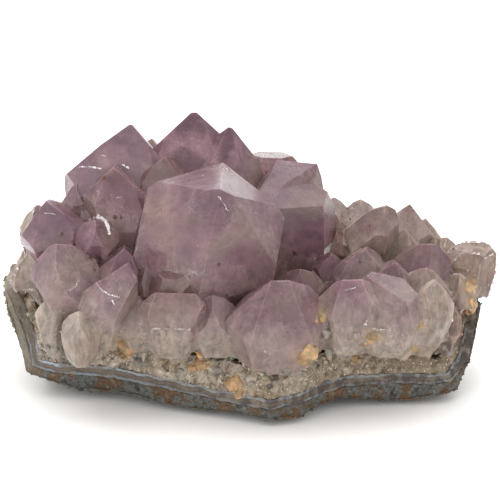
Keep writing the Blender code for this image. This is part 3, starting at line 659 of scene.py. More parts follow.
def describe_growth(piece, forms):
    """Writes what the materials read: depth below the tip, how violet and how brown, and iron."""
    mesh = piece.data
    points = corner_points(mesh)
    owner = face_owners(mesh)
    starts = np.empty(len(mesh.polygons), dtype=np.int32)
    totals = np.empty(len(mesh.polygons), dtype=np.int32)
    mesh.polygons.foreach_get("loop_start", starts)
    mesh.polygons.foreach_get("loop_total", totals)
    corner_vertex = np.empty(len(mesh.loops), dtype=np.int32)
    mesh.loops.foreach_get("vertex_index", corner_vertex)
    corner_owner = np.repeat(owner, totals)
    below = np.full(len(mesh.loops), 4.0)
    violet = np.zeros(len(owner))
    brown = np.zeros(len(owner))
    own = np.zeros(len(owner))
    for number, form in enumerate(forms):
        chosen = corner_owner == number
        below[chosen] = form.below_tip(points[corner_vertex[chosen]])
        faces = owner == number
        violet[faces] = form.violet
        brown[faces] = form.brown
        own[faces] = random.Random("shade " + form.name).random()
    write_attribute(mesh, "below_tip", "CORNER", below)
    write_attribute(mesh, "violet", "FACE", violet)
    write_attribute(mesh, "brown", "FACE", brown)
    write_attribute(mesh, "own", "FACE", own)
    tree = tree_of(piece)
    rust = np.zeros(len(points))
    for u, v, radius in STAINS_SEEN_AT:
        place = tree.ray_cast(*in_view(u, v))[0]
        if place is not None:
            away = np.linalg.norm(points - np.array(place), axis=1) / (radius * MM)
            rust = np.maximum(rust, np.exp(-away * away))
    write_attribute(mesh, "rust", "POINT", rust)
    write_attribute(mesh, "above_wall", "POINT", above_wall(points))


def new_material(name):
    made = bpy.data.materials.new(name)
    made.use_nodes = True
    tree = made.node_tree
    return made, tree, tree.nodes["Principled BSDF"], tree.nodes["Material Output"]


def add(tree, kind, inputs=None, **settings):
    """Adds a shader node with its settings, and links or sets its inputs."""
    made = tree.nodes.new("ShaderNode" + kind)
    for setting, value in settings.items():
        setattr(made, setting, value)
    for socket, value in (inputs or {}).items():
        if isinstance(value, bpy.types.NodeSocket):
            tree.links.new(value, made.inputs[socket])
        else:
            made.inputs[socket].default_value = value
    return made


def amethyst_material(colours):
    """Amethyst as it grew: glassy faces, clear and violet at the points, clouded by fluid at the roots."""
    made, tree, shader, output = new_material("amethyst_as_grown")
    place = add(tree, "TexCoord").outputs["Object"]
    own = add(tree, "Attribute", attribute_name="own").outputs["Fac"]
    moved = add(tree, "VectorMath", {0: place, 1: own}, operation="ADD").outputs[0]
    spot = add(tree, "Mapping", {"Vector": moved, "Scale": (1000.0, 1000.0, 1000.0)}).outputs[0]
    below = add(tree, "Attribute", attribute_name="below_tip").outputs["Fac"]
    violet = add(tree, "Attribute", attribute_name="violet").outputs["Fac"]
    brown = add(tree, "Attribute", attribute_name="brown").outputs["Fac"]
    rust = add(tree, "Attribute", attribute_name="rust").outputs["Fac"]
    height = add(tree, "Attribute", attribute_name="above_wall").outputs["Fac"]
    worn = add(tree, "Attribute", attribute_name="worn_edge").outputs["Fac"]

    # Clouds of fluid 8 mm across shift the line between the violet point and the milky root.
    cloud = add(
        tree, "TexNoise", {"Vector": spot, "Scale": 0.10, "Detail": 2.0, "Distortion": 0.1}
    ).outputs["Fac"]
    sooner = add(tree, "Math", {0: violet, 1: -3.5, 2: below}, operation="MULTIPLY_ADD").outputs[0]
    line = add(tree, "Math", {0: cloud, 1: 2.2, 2: sooner}, operation="MULTIPLY_ADD").outputs[0]
    pointed = add(
        tree, "MapRange", {"Value": line, "From Min": 1.3, "From Max": -2.0}, interpolation_type="SMOOTHSTEP"
    ).outputs[0]
    share = add(tree, "Math", {0: pointed, 1: 0.95}, operation="MULTIPLY").outputs[0]
    tone = add(
        tree, "Mix", {0: cloud, 6: (*shade(colours.milky, 0.72), 1.0), 7: (*shade(colours.milky, 1.25), 1.0)},
        data_type="RGBA",
    ).outputs[2]
    base = add(tree, "Mix", {0: share, 6: tone, 7: (*colours.violet, 1.0)}, data_type="RGBA").outputs[2]

    # Deeper growth zones 5 to 8 mm wide near the points.
    zone = add(
        tree, "TexNoise", {"Vector": spot, "Scale": 0.13, "Detail": 2.0, "Distortion": 0.2}
    ).outputs["Fac"]
    zone = add(
        tree, "MapRange", {"Value": zone, "From Min": 0.36, "From Max": 0.76, "To Max": 0.38},
        interpolation_type="SMOOTHSTEP",
    ).outputs[0]
    tipped = add(tree, "MapRange", {"Value": below, "From Min": 1.9, "From Max": 0.1, "To Max": 0.5}).outputs[0]
    zone = add(tree, "Math", {0: tipped, 1: violet, 2: zone}, operation="MULTIPLY_ADD").outputs[0]
    zone = add(tree, "Math", {0: zone, 1: share}, operation="MULTIPLY").outputs[0]
    base = add(tree, "Mix", {0: zone, 6: base, 7: (*colours.deep_violet, 1.0)}, data_type="RGBA").outputs[2]
    brown = add(tree, "Math", {0: brown, 1: 0.8}, operation="MULTIPLY").outputs[0]
    base = add(tree, "Mix", {0: brown, 6: base, 7: (*colours.brown, 1.0)}, data_type="RGBA").outputs[2]

    # Tan clouds 14 mm across, and haze 1 to 4 mm wide, make the inside uneven.
    tan = add(tree, "TexNoise", {"Vector": spot, "Scale": 0.07, "Detail": 2.0}).outputs["Fac"]
    tan = add(
        tree, "MapRange", {"Value": tan, "From Min": 0.46, "From Max": 0.66, "To Max": 0.5},
        interpolation_type="SMOOTHSTEP",
    ).outputs[0]
    base = add(tree, "Mix", {0: tan, 6: base, 7: (*colours.tan, 1.0)}, data_type="RGBA").outputs[2]
    haze = add(
        tree, "TexNoise", {"Vector": spot, "Scale": 0.4, "Detail": 6.0, "Roughness": 0.62, "Distortion": 0.5}
    ).outputs["Fac"]
    haze = add(
        tree, "MapRange", {"Value": haze, "From Min": 0.3, "From Max": 0.7, "To Min": 0.74, "To Max": 1.26}
    ).outputs[0]
    base = add(tree, "VectorMath", {0: base, "Scale": haze}, operation="SCALE").outputs[0]
    fleck = add(tree, "TexNoise", {"Vector": spot, "Scale": 3.2, "Detail": 1.0}).outputs["Fac"]
    fleck = add(tree, "MapRange", {"Value": fleck, "From Min": 0.67, "From Max": 0.75, "To Max": 0.22}).outputs[0]
    base = add(
        tree, "Mix", {0: fleck, 6: base, 7: (*shade(colours.milky, 1.9), 1.0)}, data_type="RGBA"
    ).outputs[2]

    # Thin pale veils, about half a millimetre across, here and there.
    veil = add(
        tree, "TexNoise", {"Vector": spot, "Scale": 0.28, "Detail": 7.0, "Roughness": 0.66, "Distortion": 1.8}
    ).outputs["Fac"]
    veil = add(tree, "Math", {0: veil, 1: 0.5}, operation="SUBTRACT").outputs[0]
    veil = add(tree, "Math", {0: veil}, operation="ABSOLUTE").outputs[0]
    veil = add(tree, "MapRange", {"Value": veil, "From Min": 0.022, "From Max": 0.0}).outputs[0]
    where = add(tree, "MapRange", {"Value": cloud, "From Min": 0.44, "From Max": 0.60, "To Max": 0.5}).outputs[0]
    veil = add(tree, "Math", {0: veil, 1: where}, operation="MULTIPLY").outputs[0]
    base = add(
        tree, "Mix", {0: veil, 6: base, 7: (*shade(colours.milky, 1.5), 1.0)}, data_type="RGBA"
    ).outputs[2]

    # Upright striae on the roots, light and dark.
    upright = add(tree, "Mapping", {"Vector": spot, "Scale": (1.0, 1.0, 0.2)}).outputs[0]
    striae = add(
        tree, "TexNoise", {"Vector": upright, "Scale": 0.9, "Detail": 5.0, "Roughness": 0.6, "Distortion": 0.7}
    ).outputs["Fac"]
    rooted = add(tree, "Math", {0: 1.0, 1: pointed}, operation="SUBTRACT").outputs[0]
    streak = add(tree, "MapRange", {"Value": striae, "From Min": 0.35, "From Max": 0.65, "To Min": -0.5, "To Max": 0.5}).outputs[0]
    streak = add(tree, "Math", {0: streak, 1: rooted}, operation="MULTIPLY").outputs[0]
    streak = add(tree, "Math", {0: streak, 1: 0.5, 2: 1.0}, operation="MULTIPLY_ADD").outputs[0]
    base = add(tree, "VectorMath", {0: base, "Scale": streak}, operation="SCALE").outputs[0]

    # Worn edges are frosted pale, partly real frost and partly a painted highlight along the rims.
    frost_and_rim_highlight = add(tree, "Math", {0: worn, 1: 0.06}, operation="MULTIPLY").outputs[0]
    base = add(tree, "Mix", {0: frost_and_rim_highlight, 6: base, 7: (*shade(colours.milky, 1.6), 1.0)}, data_type="RGBA").outputs[2]

    # Iron stains, and the dusty foot where the roots meet the wall.
    patch = add(tree, "TexNoise", {"Vector": spot, "Scale": 0.45, "Detail": 5.0, "Roughness": 0.65}).outputs["Fac"]
    dusty = add(tree, "Math", {0: patch, 1: -5.0, 2: height}, operation="MULTIPLY_ADD").outputs[0]
    dusty = add(tree, "MapRange", {"Value": dusty, "From Min": 1.5, "From Max": -1.5, "To Max": 0.7}).outputs[0]
    base = add(tree, "Mix", {0: dusty, 6: base, 7: (*colours.grain, 1.0)}, data_type="RGBA").outputs[2]
    stain = add(tree, "MapRange", {"Value": patch, "From Min": 0.40, "From Max": 0.60, "To Max": 0.9}).outputs[0]
    stain = add(tree, "Math", {0: stain, 1: rust}, operation="MULTIPLY").outputs[0]
    base = add(tree, "Mix", {0: stain, 6: base, 7: (*colours.rust, 1.0)}, data_type="RGBA").outputs[2]
    tree.links.new(base, shader.inputs["Base Color"])

    # Points are polished by growth; roots are finely frosted.
    gloss = add(tree, "MapRange", {"Value": pointed, "To Min": 0.34, "To Max": 0.14}).outputs[0]
    smear = add(tree, "TexNoise", {"Vector": spot, "Scale": 0.7, "Detail": 4.0}).outputs["Fac"]
    gloss = add(tree, "Math", {0: smear, 1: 0.16, 2: gloss}, operation="MULTIPLY_ADD").outputs[0]
    gloss = add(tree, "Math", {0: dusty, 1: 0.3, 2: gloss}, operation="MULTIPLY_ADD").outputs[0]
    tree.links.new(gloss, shader.inputs["Roughness"])
    clear = add(tree, "MapRange", {"Value": share, "To Min": 0.36, "To Max": 0.55}).outputs[0]
    clear = add(tree, "Math", {0: dusty, 1: -0.6, 2: clear}, operation="MULTIPLY_ADD").outputs[0]
    clear = add(tree, "Math", {0: stain, 1: -0.4, 2: clear}, operation="MULTIPLY_ADD", use_clamp=True).outputs[0]
    tree.links.new(clear, shader.inputs["Transmission Weight"])

    # Growth hills a few millimetres wide, and the striae.
    hills = add(tree, "TexNoise", {"Vector": spot, "Scale": 0.35, "Detail": 2.0}).outputs["Fac"]
    bump = add(tree, "Bump", {"Height": hills, "Strength": 0.5, "Distance": 0.25 * MM}).outputs[0]
    strength = add(tree, "MapRange", {"Value": pointed, "To Min": 0.9, "To Max": 0.08}).outputs[0]
    bump = add(
        tree, "Bump", {"Height": striae, "Strength": strength, "Distance": 0.5 * MM, "Normal": bump}
    ).outputs[0]
    tree.links.new(bump, shader.inputs["Normal"])

    shader.inputs["IOR"].default_value = 1.544
    shader.inputs["Specular IOR Level"].default_value = 0.36
    shader.inputs["Subsurface Weight"].default_value = 1.0
    shader.inputs["Subsurface Radius"].default_value = (1.0, 0.75, 0.8)
    shader.inputs["Subsurface Scale"].default_value = 2.0 * MM
    absorption = add(tree, "VolumeAbsorption", {"Color": (0.80, 0.66, 0.72, 1.0), "Density": 30.0})
    tree.links.new(absorption.outputs[0], output.inputs["Volume"])
    return made


def granular_material(colours):
    """Granular quartz, broken across: sugary grains, some clear and dark, some milky, some yellow with iron."""
    made, tree, shader, output = new_material("granular_quartz_broken")
    place = add(tree, "TexCoord").outputs["Object"]
    spot = add(tree, "Mapping", {"Vector": place, "Scale": (1000.0, 1000.0, 1000.0)}).outputs[0]
    broad = add(
        tree, "TexNoise", {"Vector": spot, "Scale": 0.42, "Detail": 9.0, "Roughness": 0.78, "Distortion": 0.8}
    ).outputs["Fac"]
    ramp = add(tree, "ValToRGB", {"Fac": broad})
    stops = (
        (0.34, "#372f28"), (0.42, "#675c50"), (0.48, "#938673"), (0.55, "#b4a897"), (0.66, "#ddd5c7"),
    )
    fill_ramp(ramp.color_ramp, stops)
    patch = add(tree, "TexNoise", {"Vector": spot, "Scale": 0.11, "Detail": 4.0, "Roughness": 0.6}).outputs["Fac"]
    patch = add(tree, "MapRange", {"Value": patch, "From Min": 0.5, "From Max": 0.66, "To Max": 0.55}).outputs[0]
    base = add(tree, "Mix", {0: patch, 6: ramp.outputs[0], 7: (*linear("#8f6f45"), 1.0)}, data_type="RGBA").outputs[2]
    # More iron and soil on one side of the cluster than on the other.
    side = add(tree, "SeparateXYZ", {0: spot}).outputs[0]
    soiled = add(tree, "MapRange", {"Value": side, "From Min": -40.0, "From Max": 45.0, "To Max": 0.6}).outputs[0]
    base = add(tree, "Mix", {0: soiled, 6: base, 7: (*linear("#6a553c"), 1.0)}, data_type="RGBA").outputs[2]
    # Single grains painted near white: partly milky grains, partly painted glints where grains flash.
    fine = add(tree, "TexNoise", {"Vector": spot, "Scale": 1.4, "Detail": 5.0, "Roughness": 0.7}).outputs["Fac"]
    grain = add(tree, "TexVoronoi", {"Vector": spot, "Scale": 1.1}).outputs["Distance"]
    grain = add(tree, "Math", {0: fine, 1: 0.8, 2: grain}, operation="MULTIPLY_ADD").outputs[0]
    grain = add(tree, "MapRange", {"Value": grain, "From Min": 0.62, "From Max": 0.5, "To Max": 0.8}).outputs[0]
    base = add(tree, "Mix", {0: grain, 6: base, 7: (*linear("#ddd6ca"), 1.0)}, data_type="RGBA").outputs[2]
    tree.links.new(base, shader.inputs["Base Color"])
    rough = add(tree, "MapRange", {"Value": fine, "To Min": 0.25, "To Max": 0.75}).outputs[0]
    tree.links.new(rough, shader.inputs["Roughness"])
    bump = add(tree, "Bump", {"Height": fine, "Strength": 0.8, "Distance": 0.5 * MM}).outputs[0]
    tree.links.new(bump, shader.inputs["Normal"])
    shader.inputs["IOR"].default_value = 1.544
    shader.inputs["Subsurface Weight"].default_value = 0.3
    shader.inputs["Subsurface Radius"].default_value = (1.0, 0.85, 0.7)
    shader.inputs["Subsurface Scale"].default_value = 0.4 * MM
    return made


def fill_ramp(ramp, stops):
    """Sets a colour ramp's stops from positions and hex values."""
    while len(ramp.elements) > 1:
        ramp.elements.remove(ramp.elements[-1])
    ramp.elements[0].position = stops[0][0]
    ramp.elements[0].color = (*linear(stops[0][1]), 1.0)
    for position, code in stops[1:]:
        ramp.elements.new(position).color = (*linear(code), 1.0)


def grain_material(name, code, clear, rough):
    """Small quartz grains with their own faces: glassy, with the tint that iron or fluid gives them."""
    made, tree, shader, output = new_material(name)
    place = add(tree, "TexCoord").outputs["Object"]
    spot = add(tree, "Mapping", {"Vector": place, "Scale": (1000.0, 1000.0, 1000.0)}).outputs[0]
    tone = add(tree, "TexNoise", {"Vector": spot, "Scale": 0.5, "Detail": 4.0}).outputs["Fac"]
    tone = add(tree, "MapRange", {"Value": tone, "From Min": 0.3, "From Max": 0.7}).outputs[0]
    pale = tuple(min(1.0, 1.5 * v + 0.05) for v in linear(code))
    deep = tuple(0.5 * v for v in linear(code))
    base = add(tree, "Mix", {0: tone, 6: (*deep, 1.0), 7: (*pale, 1.0)}, data_type="RGBA").outputs[2]
    tree.links.new(base, shader.inputs["Base Color"])
    grit = add(tree, "TexNoise", {"Vector": spot, "Scale": 2.5, "Detail": 3.0}).outputs["Fac"]
    bump = add(tree, "Bump", {"Height": grit, "Strength": 0.5, "Distance": 0.15 * MM}).outputs[0]
    tree.links.new(bump, shader.inputs["Normal"])
    shader.inputs["Roughness"].default_value = rough
    shader.inputs["IOR"].default_value = 1.544
    shader.inputs["Transmission Weight"].default_value = clear
    shader.inputs["Subsurface Weight"].default_value = 0.5
    shader.inputs["Subsurface Scale"].default_value = 1.0 * MM
    return made


def painted_glint_material():
    """Painted glints: flakes coloured near white where chipped edges flash with reflected light."""
    made, tree, shader, output = new_material("chipped_quartz")
    place = add(tree, "TexCoord").outputs["Object"]
    spot = add(tree, "Mapping", {"Vector": place, "Scale": (1000.0, 1000.0, 1000.0)}).outputs[0]
    grit = add(tree, "TexNoise", {"Vector": spot, "Scale": 3.0, "Detail": 2.0}).outputs["Fac"]
    base = add(
        tree, "Mix", {0: grit, 6: (*linear("#c9bfc0"), 1.0), 7: (*linear("#f6f3f0"), 1.0)}, data_type="RGBA"
    ).outputs[2]
    tree.links.new(base, shader.inputs["Base Color"])
    shader.inputs["Roughness"].default_value = 0.2
    shader.inputs["IOR"].default_value = 1.544
    return made


def speck_material():
    """Goethite: tiny rusty brown grains that settled on the faces."""
    made, tree, shader, output = new_material("goethite_grains")
    place = add(tree, "TexCoord").outputs["Object"]
    spot = add(tree, "Mapping", {"Vector": place, "Scale": (1000.0, 1000.0, 1000.0)}).outputs[0]
    grit = add(tree, "TexNoise", {"Vector": spot, "Scale": 2.0, "Detail": 2.0}).outputs["Fac"]
    base = add(
        tree, "Mix", {0: grit, 6: (*linear("#2c1a12"), 1.0), 7: (*linear("#6d452c"), 1.0)}, data_type="RGBA"
    ).outputs[2]
    tree.links.new(base, shader.inputs["Base Color"])
    shader.inputs["Roughness"].default_value = 0.6
    return made


def bubble_material():
    """Fluid bubbles of a healed fracture: they scatter light and read as a pale haze."""
    made, tree, shader, output = new_material("fluid_bubbles")
    place = add(tree, "TexCoord").outputs["Object"]
    spot = add(tree, "Mapping", {"Vector": place, "Scale": (1000.0, 1000.0, 1000.0)}).outputs[0]
    grit = add(tree, "TexNoise", {"Vector": spot, "Scale": 0.5, "Detail": 2.0}).outputs["Fac"]
    base = add(
        tree, "Mix", {0: grit, 6: (*linear("#a39391"), 1.0), 7: (*linear("#cfc6c4"), 1.0)}, data_type="RGBA"
    ).outputs[2]
    tree.links.new(base, shader.inputs["Base Color"])
    shader.inputs["Roughness"].default_value = 0.4
    return made


def agate_material(colours):
    """Agate, broken across: fine parallel bands, waxy, blue-grey and brown."""
    made, tree, shader, output = new_material("agate_banded")
    place = add(tree, "TexCoord").outputs["Object"]
    spot = add(tree, "Mapping", {"Vector": place, "Scale": (1000.0, 1000.0, 1000.0)}).outputs[0]
    depth = add(tree, "Attribute", attribute_name="band").outputs["Fac"]
    rim = add(tree, "Attribute", attribute_name="rim").outputs["Fac"]
    wave = add(tree, "TexNoise", {"Vector": spot, "Scale": 0.25, "Detail": 4.0, "Roughness": 0.6}).outputs["Fac"]
    depth = add(tree, "Math", {0: wave, 1: 0.8, 2: depth}, operation="MULTIPLY_ADD").outputs[0]
    depth = add(tree, "Math", {0: depth, 1: 0.4}, operation="SUBTRACT").outputs[0]
    ramp = add(tree, "ValToRGB", {"Fac": depth})
    stops = (
        (0.0, "#453b31"), (0.10, "#868e94"), (0.20, "#727b84"), (0.28, "#463c33"), (0.40, "#6a594b"),
        (0.55, "#6c5d51"), (0.64, "#46403a"), (0.73, "#97a1a9"), (0.87, "#a3acb3"), (0.94, "#4f4a44"), (1.0, "#6c6353"),
    )
    fill_ramp(ramp.color_ramp, stops)
    mottle = add(tree, "TexNoise", {"Vector": spot, "Scale": 0.3, "Detail": 6.0, "Roughness": 0.7}).outputs["Fac"]
    dirt = add(tree, "MapRange", {"Value": mottle, "From Min": 0.44, "From Max": 0.62, "To Max": 0.85}).outputs[0]
    dirt = add(tree, "Math", {0: dirt, 1: rim}, operation="MAXIMUM").outputs[0]
    earth = add(
        tree, "Mix", {0: mottle, 6: (*linear("#3a3026"), 1.0), 7: (*linear("#8c8172"), 1.0)}, data_type="RGBA"
    ).outputs[2]
    # Soil lies in the band more on one side of the cluster than on the other.
    side = add(tree, "SeparateXYZ", {0: spot}).outputs[0]
    soiled = add(tree, "MapRange", {"Value": side, "From Min": -40.0, "From Max": 0.0, "To Max": 0.85}).outputs[0]
    soil = add(tree, "MapRange", {"Value": mottle, "From Min": 0.56, "From Max": 0.44}).outputs[0]
    soiled = add(tree, "Math", {0: soiled, 1: soil}, operation="MULTIPLY").outputs[0]
    base = add(tree, "Mix", {0: dirt, 6: ramp.outputs[0], 7: earth}, data_type="RGBA").outputs[2]
    base = add(tree, "Mix", {0: soiled, 6: base, 7: (*linear("#33241a"), 1.0)}, data_type="RGBA").outputs[2]
    tree.links.new(base, shader.inputs["Base Color"])
    grit = add(tree, "TexNoise", {"Vector": spot, "Scale": 1.4, "Detail": 5.0, "Roughness": 0.6}).outputs["Fac"]
    bump = add(tree, "Bump", {"Height": grit, "Strength": 0.8, "Distance": 0.4 * MM}).outputs[0]
    tree.links.new(bump, shader.inputs["Normal"])
    gloss = add(tree, "MapRange", {"Value": mottle, "From Min": 0.4, "From Max": 0.6, "To Min": 0.35, "To Max": 0.8}).outputs[0]
    tree.links.new(gloss, shader.inputs["Roughness"])
    shader.inputs["IOR"].default_value = 1.53
    shader.inputs["Subsurface Weight"].default_value = 0.3
    shader.inputs["Subsurface Scale"].default_value = 0.8 * MM
    return made


def rock_material(colours):
    """Weathered basalt skin: dull and gritty, grey and olive, with rust and pale flecks of clay."""
    made, tree, shader, output = new_material("basalt_weathered")
    place = add(tree, "TexCoord").outputs["Object"]
    spot = add(tree, "Mapping", {"Vector": place, "Scale": (1000.0, 1000.0, 1000.0)}).outputs[0]
    broad = add(tree, "TexNoise", {"Vector": spot, "Scale": 0.2, "Detail": 6.0, "Roughness": 0.68}).outputs["Fac"]
    ramp = add(tree, "ValToRGB", {"Fac": broad})
    stops = (
        (0.30, "#29231d"), (0.40, "#47433b"), (0.47, "#656764"), (0.53, "#544938"), (0.59, "#67452c"),
        (0.65, "#695f4d"), (0.76, "#968e7c"),
    )
    fill_ramp(ramp.color_ramp, stops)
    fleck = add(tree, "TexNoise", {"Vector": spot, "Scale": 1.3, "Detail": 5.0, "Roughness": 0.65}).outputs["Fac"]
    pale = add(tree, "MapRange", {"Value": fleck, "From Min": 0.56, "From Max": 0.68, "To Max": 0.6}).outputs[0]
    base = add(tree, "Mix", {0: pale, 6: ramp.outputs[0], 7: (*linear("#8f9190"), 1.0)}, data_type="RGBA").outputs[2]
    dark = add(tree, "MapRange", {"Value": fleck, "From Min": 0.44, "From Max": 0.34, "To Max": 0.8}).outputs[0]
    base = add(tree, "Mix", {0: dark, 6: base, 7: (*linear("#251e17"), 1.0)}, data_type="RGBA").outputs[2]
    # Grey clay clings to one end of the cluster, above the foot.
    parts = add(tree, "SeparateXYZ", {0: spot})
    end = add(tree, "MapRange", {"Value": parts.outputs[0], "From Min": -44.0, "From Max": -56.0}).outputs[0]
    above = add(tree, "MapRange", {"Value": parts.outputs[2], "From Min": 5.0, "From Max": 11.0}).outputs[0]
    clay = add(tree, "Math", {0: end, 1: above}, operation="MULTIPLY").outputs[0]
    clay = add(tree, "Math", {0: clay, 1: 0.6}, operation="MULTIPLY").outputs[0]
    base = add(tree, "Mix", {0: clay, 6: base, 7: (*linear("#a49b8c"), 1.0)}, data_type="RGBA").outputs[2]
    tree.links.new(base, shader.inputs["Base Color"])
    bump = add(tree, "Bump", {"Height": fleck, "Strength": 1.0, "Distance": 0.8 * MM}).outputs[0]
    tree.links.new(bump, shader.inputs["Normal"])
    shader.inputs["Roughness"].default_value = 0.85
    return made


def finish_piece(piece, material, slot, *nodes):
    piece.data.materials.clear()
    piece.data.materials.append(material)
    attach(piece, "root")
    if nodes:
        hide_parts(*nodes)


class AMETHYST_OT_crystals(bpy.types.Operator):
    """Cut every crystal, join them, trim them to the wall and round their roots"""

    bl_idname = "amethyst.crystals"
    bl_label = "Crystals"

    def execute(self, context):
        sizes = context.scene.amethyst_sizes
        pieces = []
        forms = []
        for row in CRYSTALS:
            piece, form = cut_crystal(row, sizes.chamfer)
            pieces.append(piece)
            forms.append(form)
        bpy.ops.mesh.primitive_cube_add(
            size=1.0, location=(0.0, 0.0, 0.5 * BLOCK_HEIGHT * MM), scale=(0.128, 0.076, BLOCK_HEIGHT * MM)
        )
        bpy.ops.object.transform_apply(location=True, rotation=True, scale=True)
        pieces.append(context.object)
        others = bpy.data.collections.new("to_join")
        context.scene.collection.children.link(others)
        for piece in pieces[1:]:
            context.scene.collection.objects.unlink(piece)
            others.objects.link(piece)
        cluster = pieces[0]
        cluster.name = "amethyst_points"
        join = {"operation": "UNION", "solver": "MANIFOLD", "operand_type": "COLLECTION", "collection": others}
        apply_modifier(cluster, "BOOLEAN", **join)
        limit = copy_of_node("amethyst_crystals", "limit")
        apply_modifier(limit, "DISPLACE", strength=0.03 * MM, mid_level=0.0)
        apply_modifier(cluster, "BOOLEAN", operation="INTERSECT", solver="MANIFOLD", object=limit)
        for piece in [*others.objects, limit]:
            bpy.data.objects.remove(piece, do_unlink=True)
        bpy.data.collections.remove(others)
        keep_largest_body(cluster)
        alone(cluster)
        bpy.ops.object.mode_set(mode="EDIT")
        bpy.ops.mesh.select_all(action="SELECT")
        bpy.ops.mesh.remove_doubles(threshold=0.02 * MM)
        bpy.ops.mesh.quads_convert_to_tris(quad_method="BEAUTY", ngon_method="BEAUTY")
        bpy.ops.object.mode_set(mode="OBJECT")
        name_faces(cluster, forms)
        refine(cluster, sizes.root_mesh, forms)
        worn = add_group(cluster, "worn", worn_shares(cluster, forms))
        apply_modifier(cluster, "SMOOTH", factor=0.5, iterations=18, vertex_group=worn)
        flutes = stretched_space((1.0, 1.0, 4.0))
        for width, share in ((5.0 * MM, 1.0), (2.0 * MM, 0.45)):
            apply_modifier(
                cluster, "DISPLACE", texture=texture("CLOUDS", width, noise_depth=1), texture_coords="OBJECT",
                texture_coords_object=flutes, strength=sizes.flute_depth * share, mid_level=0.85, vertex_group=worn,
            )
        bpy.data.objects.remove(flutes)
        near = np.clip((4.5 - above_wall(corner_points(cluster.data))) / 4.5, 0.0, 1.0)
        foot = add_group(cluster, "foot", near)
        apply_modifier(
            cluster, "DISPLACE", texture=texture("CLOUDS", 3.0 * MM, noise_depth=2), texture_coords="LOCAL",
            strength=sizes.foot_depth, mid_level=0.95, vertex_group=foot,
        )
        describe_growth(cluster, forms)
        alone(cluster)
        bpy.ops.object.shade_smooth_by_angle(angle=math.radians(36.0))
        apply_modifier(cluster, "WEIGHTED_NORMAL", keep_sharp=True)
        finish_piece(cluster, amethyst_material(context.scene.amethyst_colours), "amethyst", "amethyst_crystals")
        return {"FINISHED"}


def rough_copy(node, name, grow, mesh_size, reliefs, beside=None):
    """A rock layer: its solid, grown a little, meshed evenly and roughened by (texture, depth, mid level).

    Beside is a neighbour, along which the layer is left as it is."""
    piece = copy_of_node(node, name)
    if grow:
        apply_modifier(piece, "DISPLACE", strength=grow, mid_level=0.0)
    piece.data.remesh_voxel_size = mesh_size
    alone(piece)
    bpy.ops.object.voxel_remesh()
    group = ""
    if beside:
        tree = tree_of(frame["nodes"][beside])
        away = np.array([tree.find_nearest(vert.co)[3] for vert in piece.data.vertices]) / MM
        group = add_group(piece, "free", np.clip((away - 0.6) / 1.6, 0.0, 1.0))
    for pattern, depth, middle in reliefs:
        apply_modifier(
            piece, "DISPLACE", texture=pattern, texture_coords="LOCAL", strength=depth, mid_level=middle,
            vertex_group=group,
        )
    alone(piece)
    bpy.ops.object.shade_smooth_by_angle(angle=math.radians(50.0))
    return piece


class AMETHYST_OT_granular_zone(bpy.types.Operator):
    """Roughen the granular quartz that the crystals are rooted in"""

    bl_idname = "amethyst.granular_zone"
    bl_label = "Granular quartz"

    def execute(self, context):
        sizes = context.scene.amethyst_sizes
        reliefs = (
            (texture("CLOUDS", 4.0 * MM, noise_depth=2), 1.2 * MM, 0.6),
            (texture("VORONOI", 1.4 * MM, distance_metric="DISTANCE"), 0.8 * MM, 0.6),
        )
        piece = rough_copy("granular_quartz", "granular_zone", 0.5 * MM, sizes.wall_mesh, reliefs)
        finish_piece(piece, granular_material(context.scene.amethyst_colours), "granular_quartz", "granular_quartz")
        return {"FINISHED"}


class AMETHYST_OT_agate(bpy.types.Operator):
    """Build the thin banded agate under the granular quartz"""

    bl_idname = "amethyst.agate"
    bl_label = "Agate band"

    def execute(self, context):
        sizes = context.scene.amethyst_sizes
        reliefs = ((texture("CLOUDS", 2.5 * MM, noise_depth=3), 0.9 * MM, 0.55),)
        piece = rough_copy("agate_band", "agate_layers", 0.45 * MM, sizes.wall_mesh * 0.8, reliefs)
        rock = tree_of(frame["nodes"]["basalt_crust"])
        quartz = tree_of(frame["nodes"]["granular_quartz"])
        shares = []
        for vert in piece.data.vertices:
            low = rock.find_nearest(vert.co)[3]
            high = quartz.find_nearest(vert.co)[3]
            shares.append(low / max(low + high, 1e-6))
        write_attribute(piece.data, "band", "POINT", np.array(shares))
        points = corner_points(piece.data) / MM
        rim = np.clip((np.abs(points[:, 0]) - 55.0) / 4.0, 0.0, 1.0)
        write_attribute(piece.data, "rim", "POINT", np.maximum(rim, np.clip((points[:, 2] - 13.0) / 4.0, 0.0, 1.0)))
        finish_piece(piece, agate_material(context.scene.amethyst_colours), "agate", "agate_band")
        return {"FINISHED"}


class AMETHYST_OT_rock(bpy.types.Operator):
    """Roughen the skin of host rock on the outside"""

    bl_idname = "amethyst.rock"
    bl_label = "Host rock"

    def execute(self, context):
        sizes = context.scene.amethyst_sizes
        reliefs = (
            (texture("CLOUDS", 7.0 * MM, noise_depth=2), sizes.rock_relief, 0.9),
            (texture("CLOUDS", 2.2 * MM, noise_depth=2), 0.5 * MM, 0.9),
        )
        piece = rough_copy("basalt_crust", "host_rock", 0.0, sizes.wall_mesh, reliefs, beside="agate_band")
        finish_piece(piece, rock_material(context.scene.amethyst_colours), "basalt", "basalt_crust")
        return {"FINISHED"}


def spread_over(piece, count, seed, wanted):
    """Points spread evenly over a piece, with the direction that the surface faces, where wanted says so."""
    mesh = piece.data
    areas = np.empty(len(mesh.polygons))
    mesh.polygons.foreach_get("area", areas)
    draw = np.random.default_rng(seed)
    chosen = draw.choice(len(areas), size=count * 12, p=areas / areas.sum())
    found = []
    for index in chosen:
        face = mesh.polygons[int(index)]
        if wanted(face.center, face.normal):
            found.append((face.center.copy(), face.normal.copy()))
        if len(found) == count:
            break
    return found


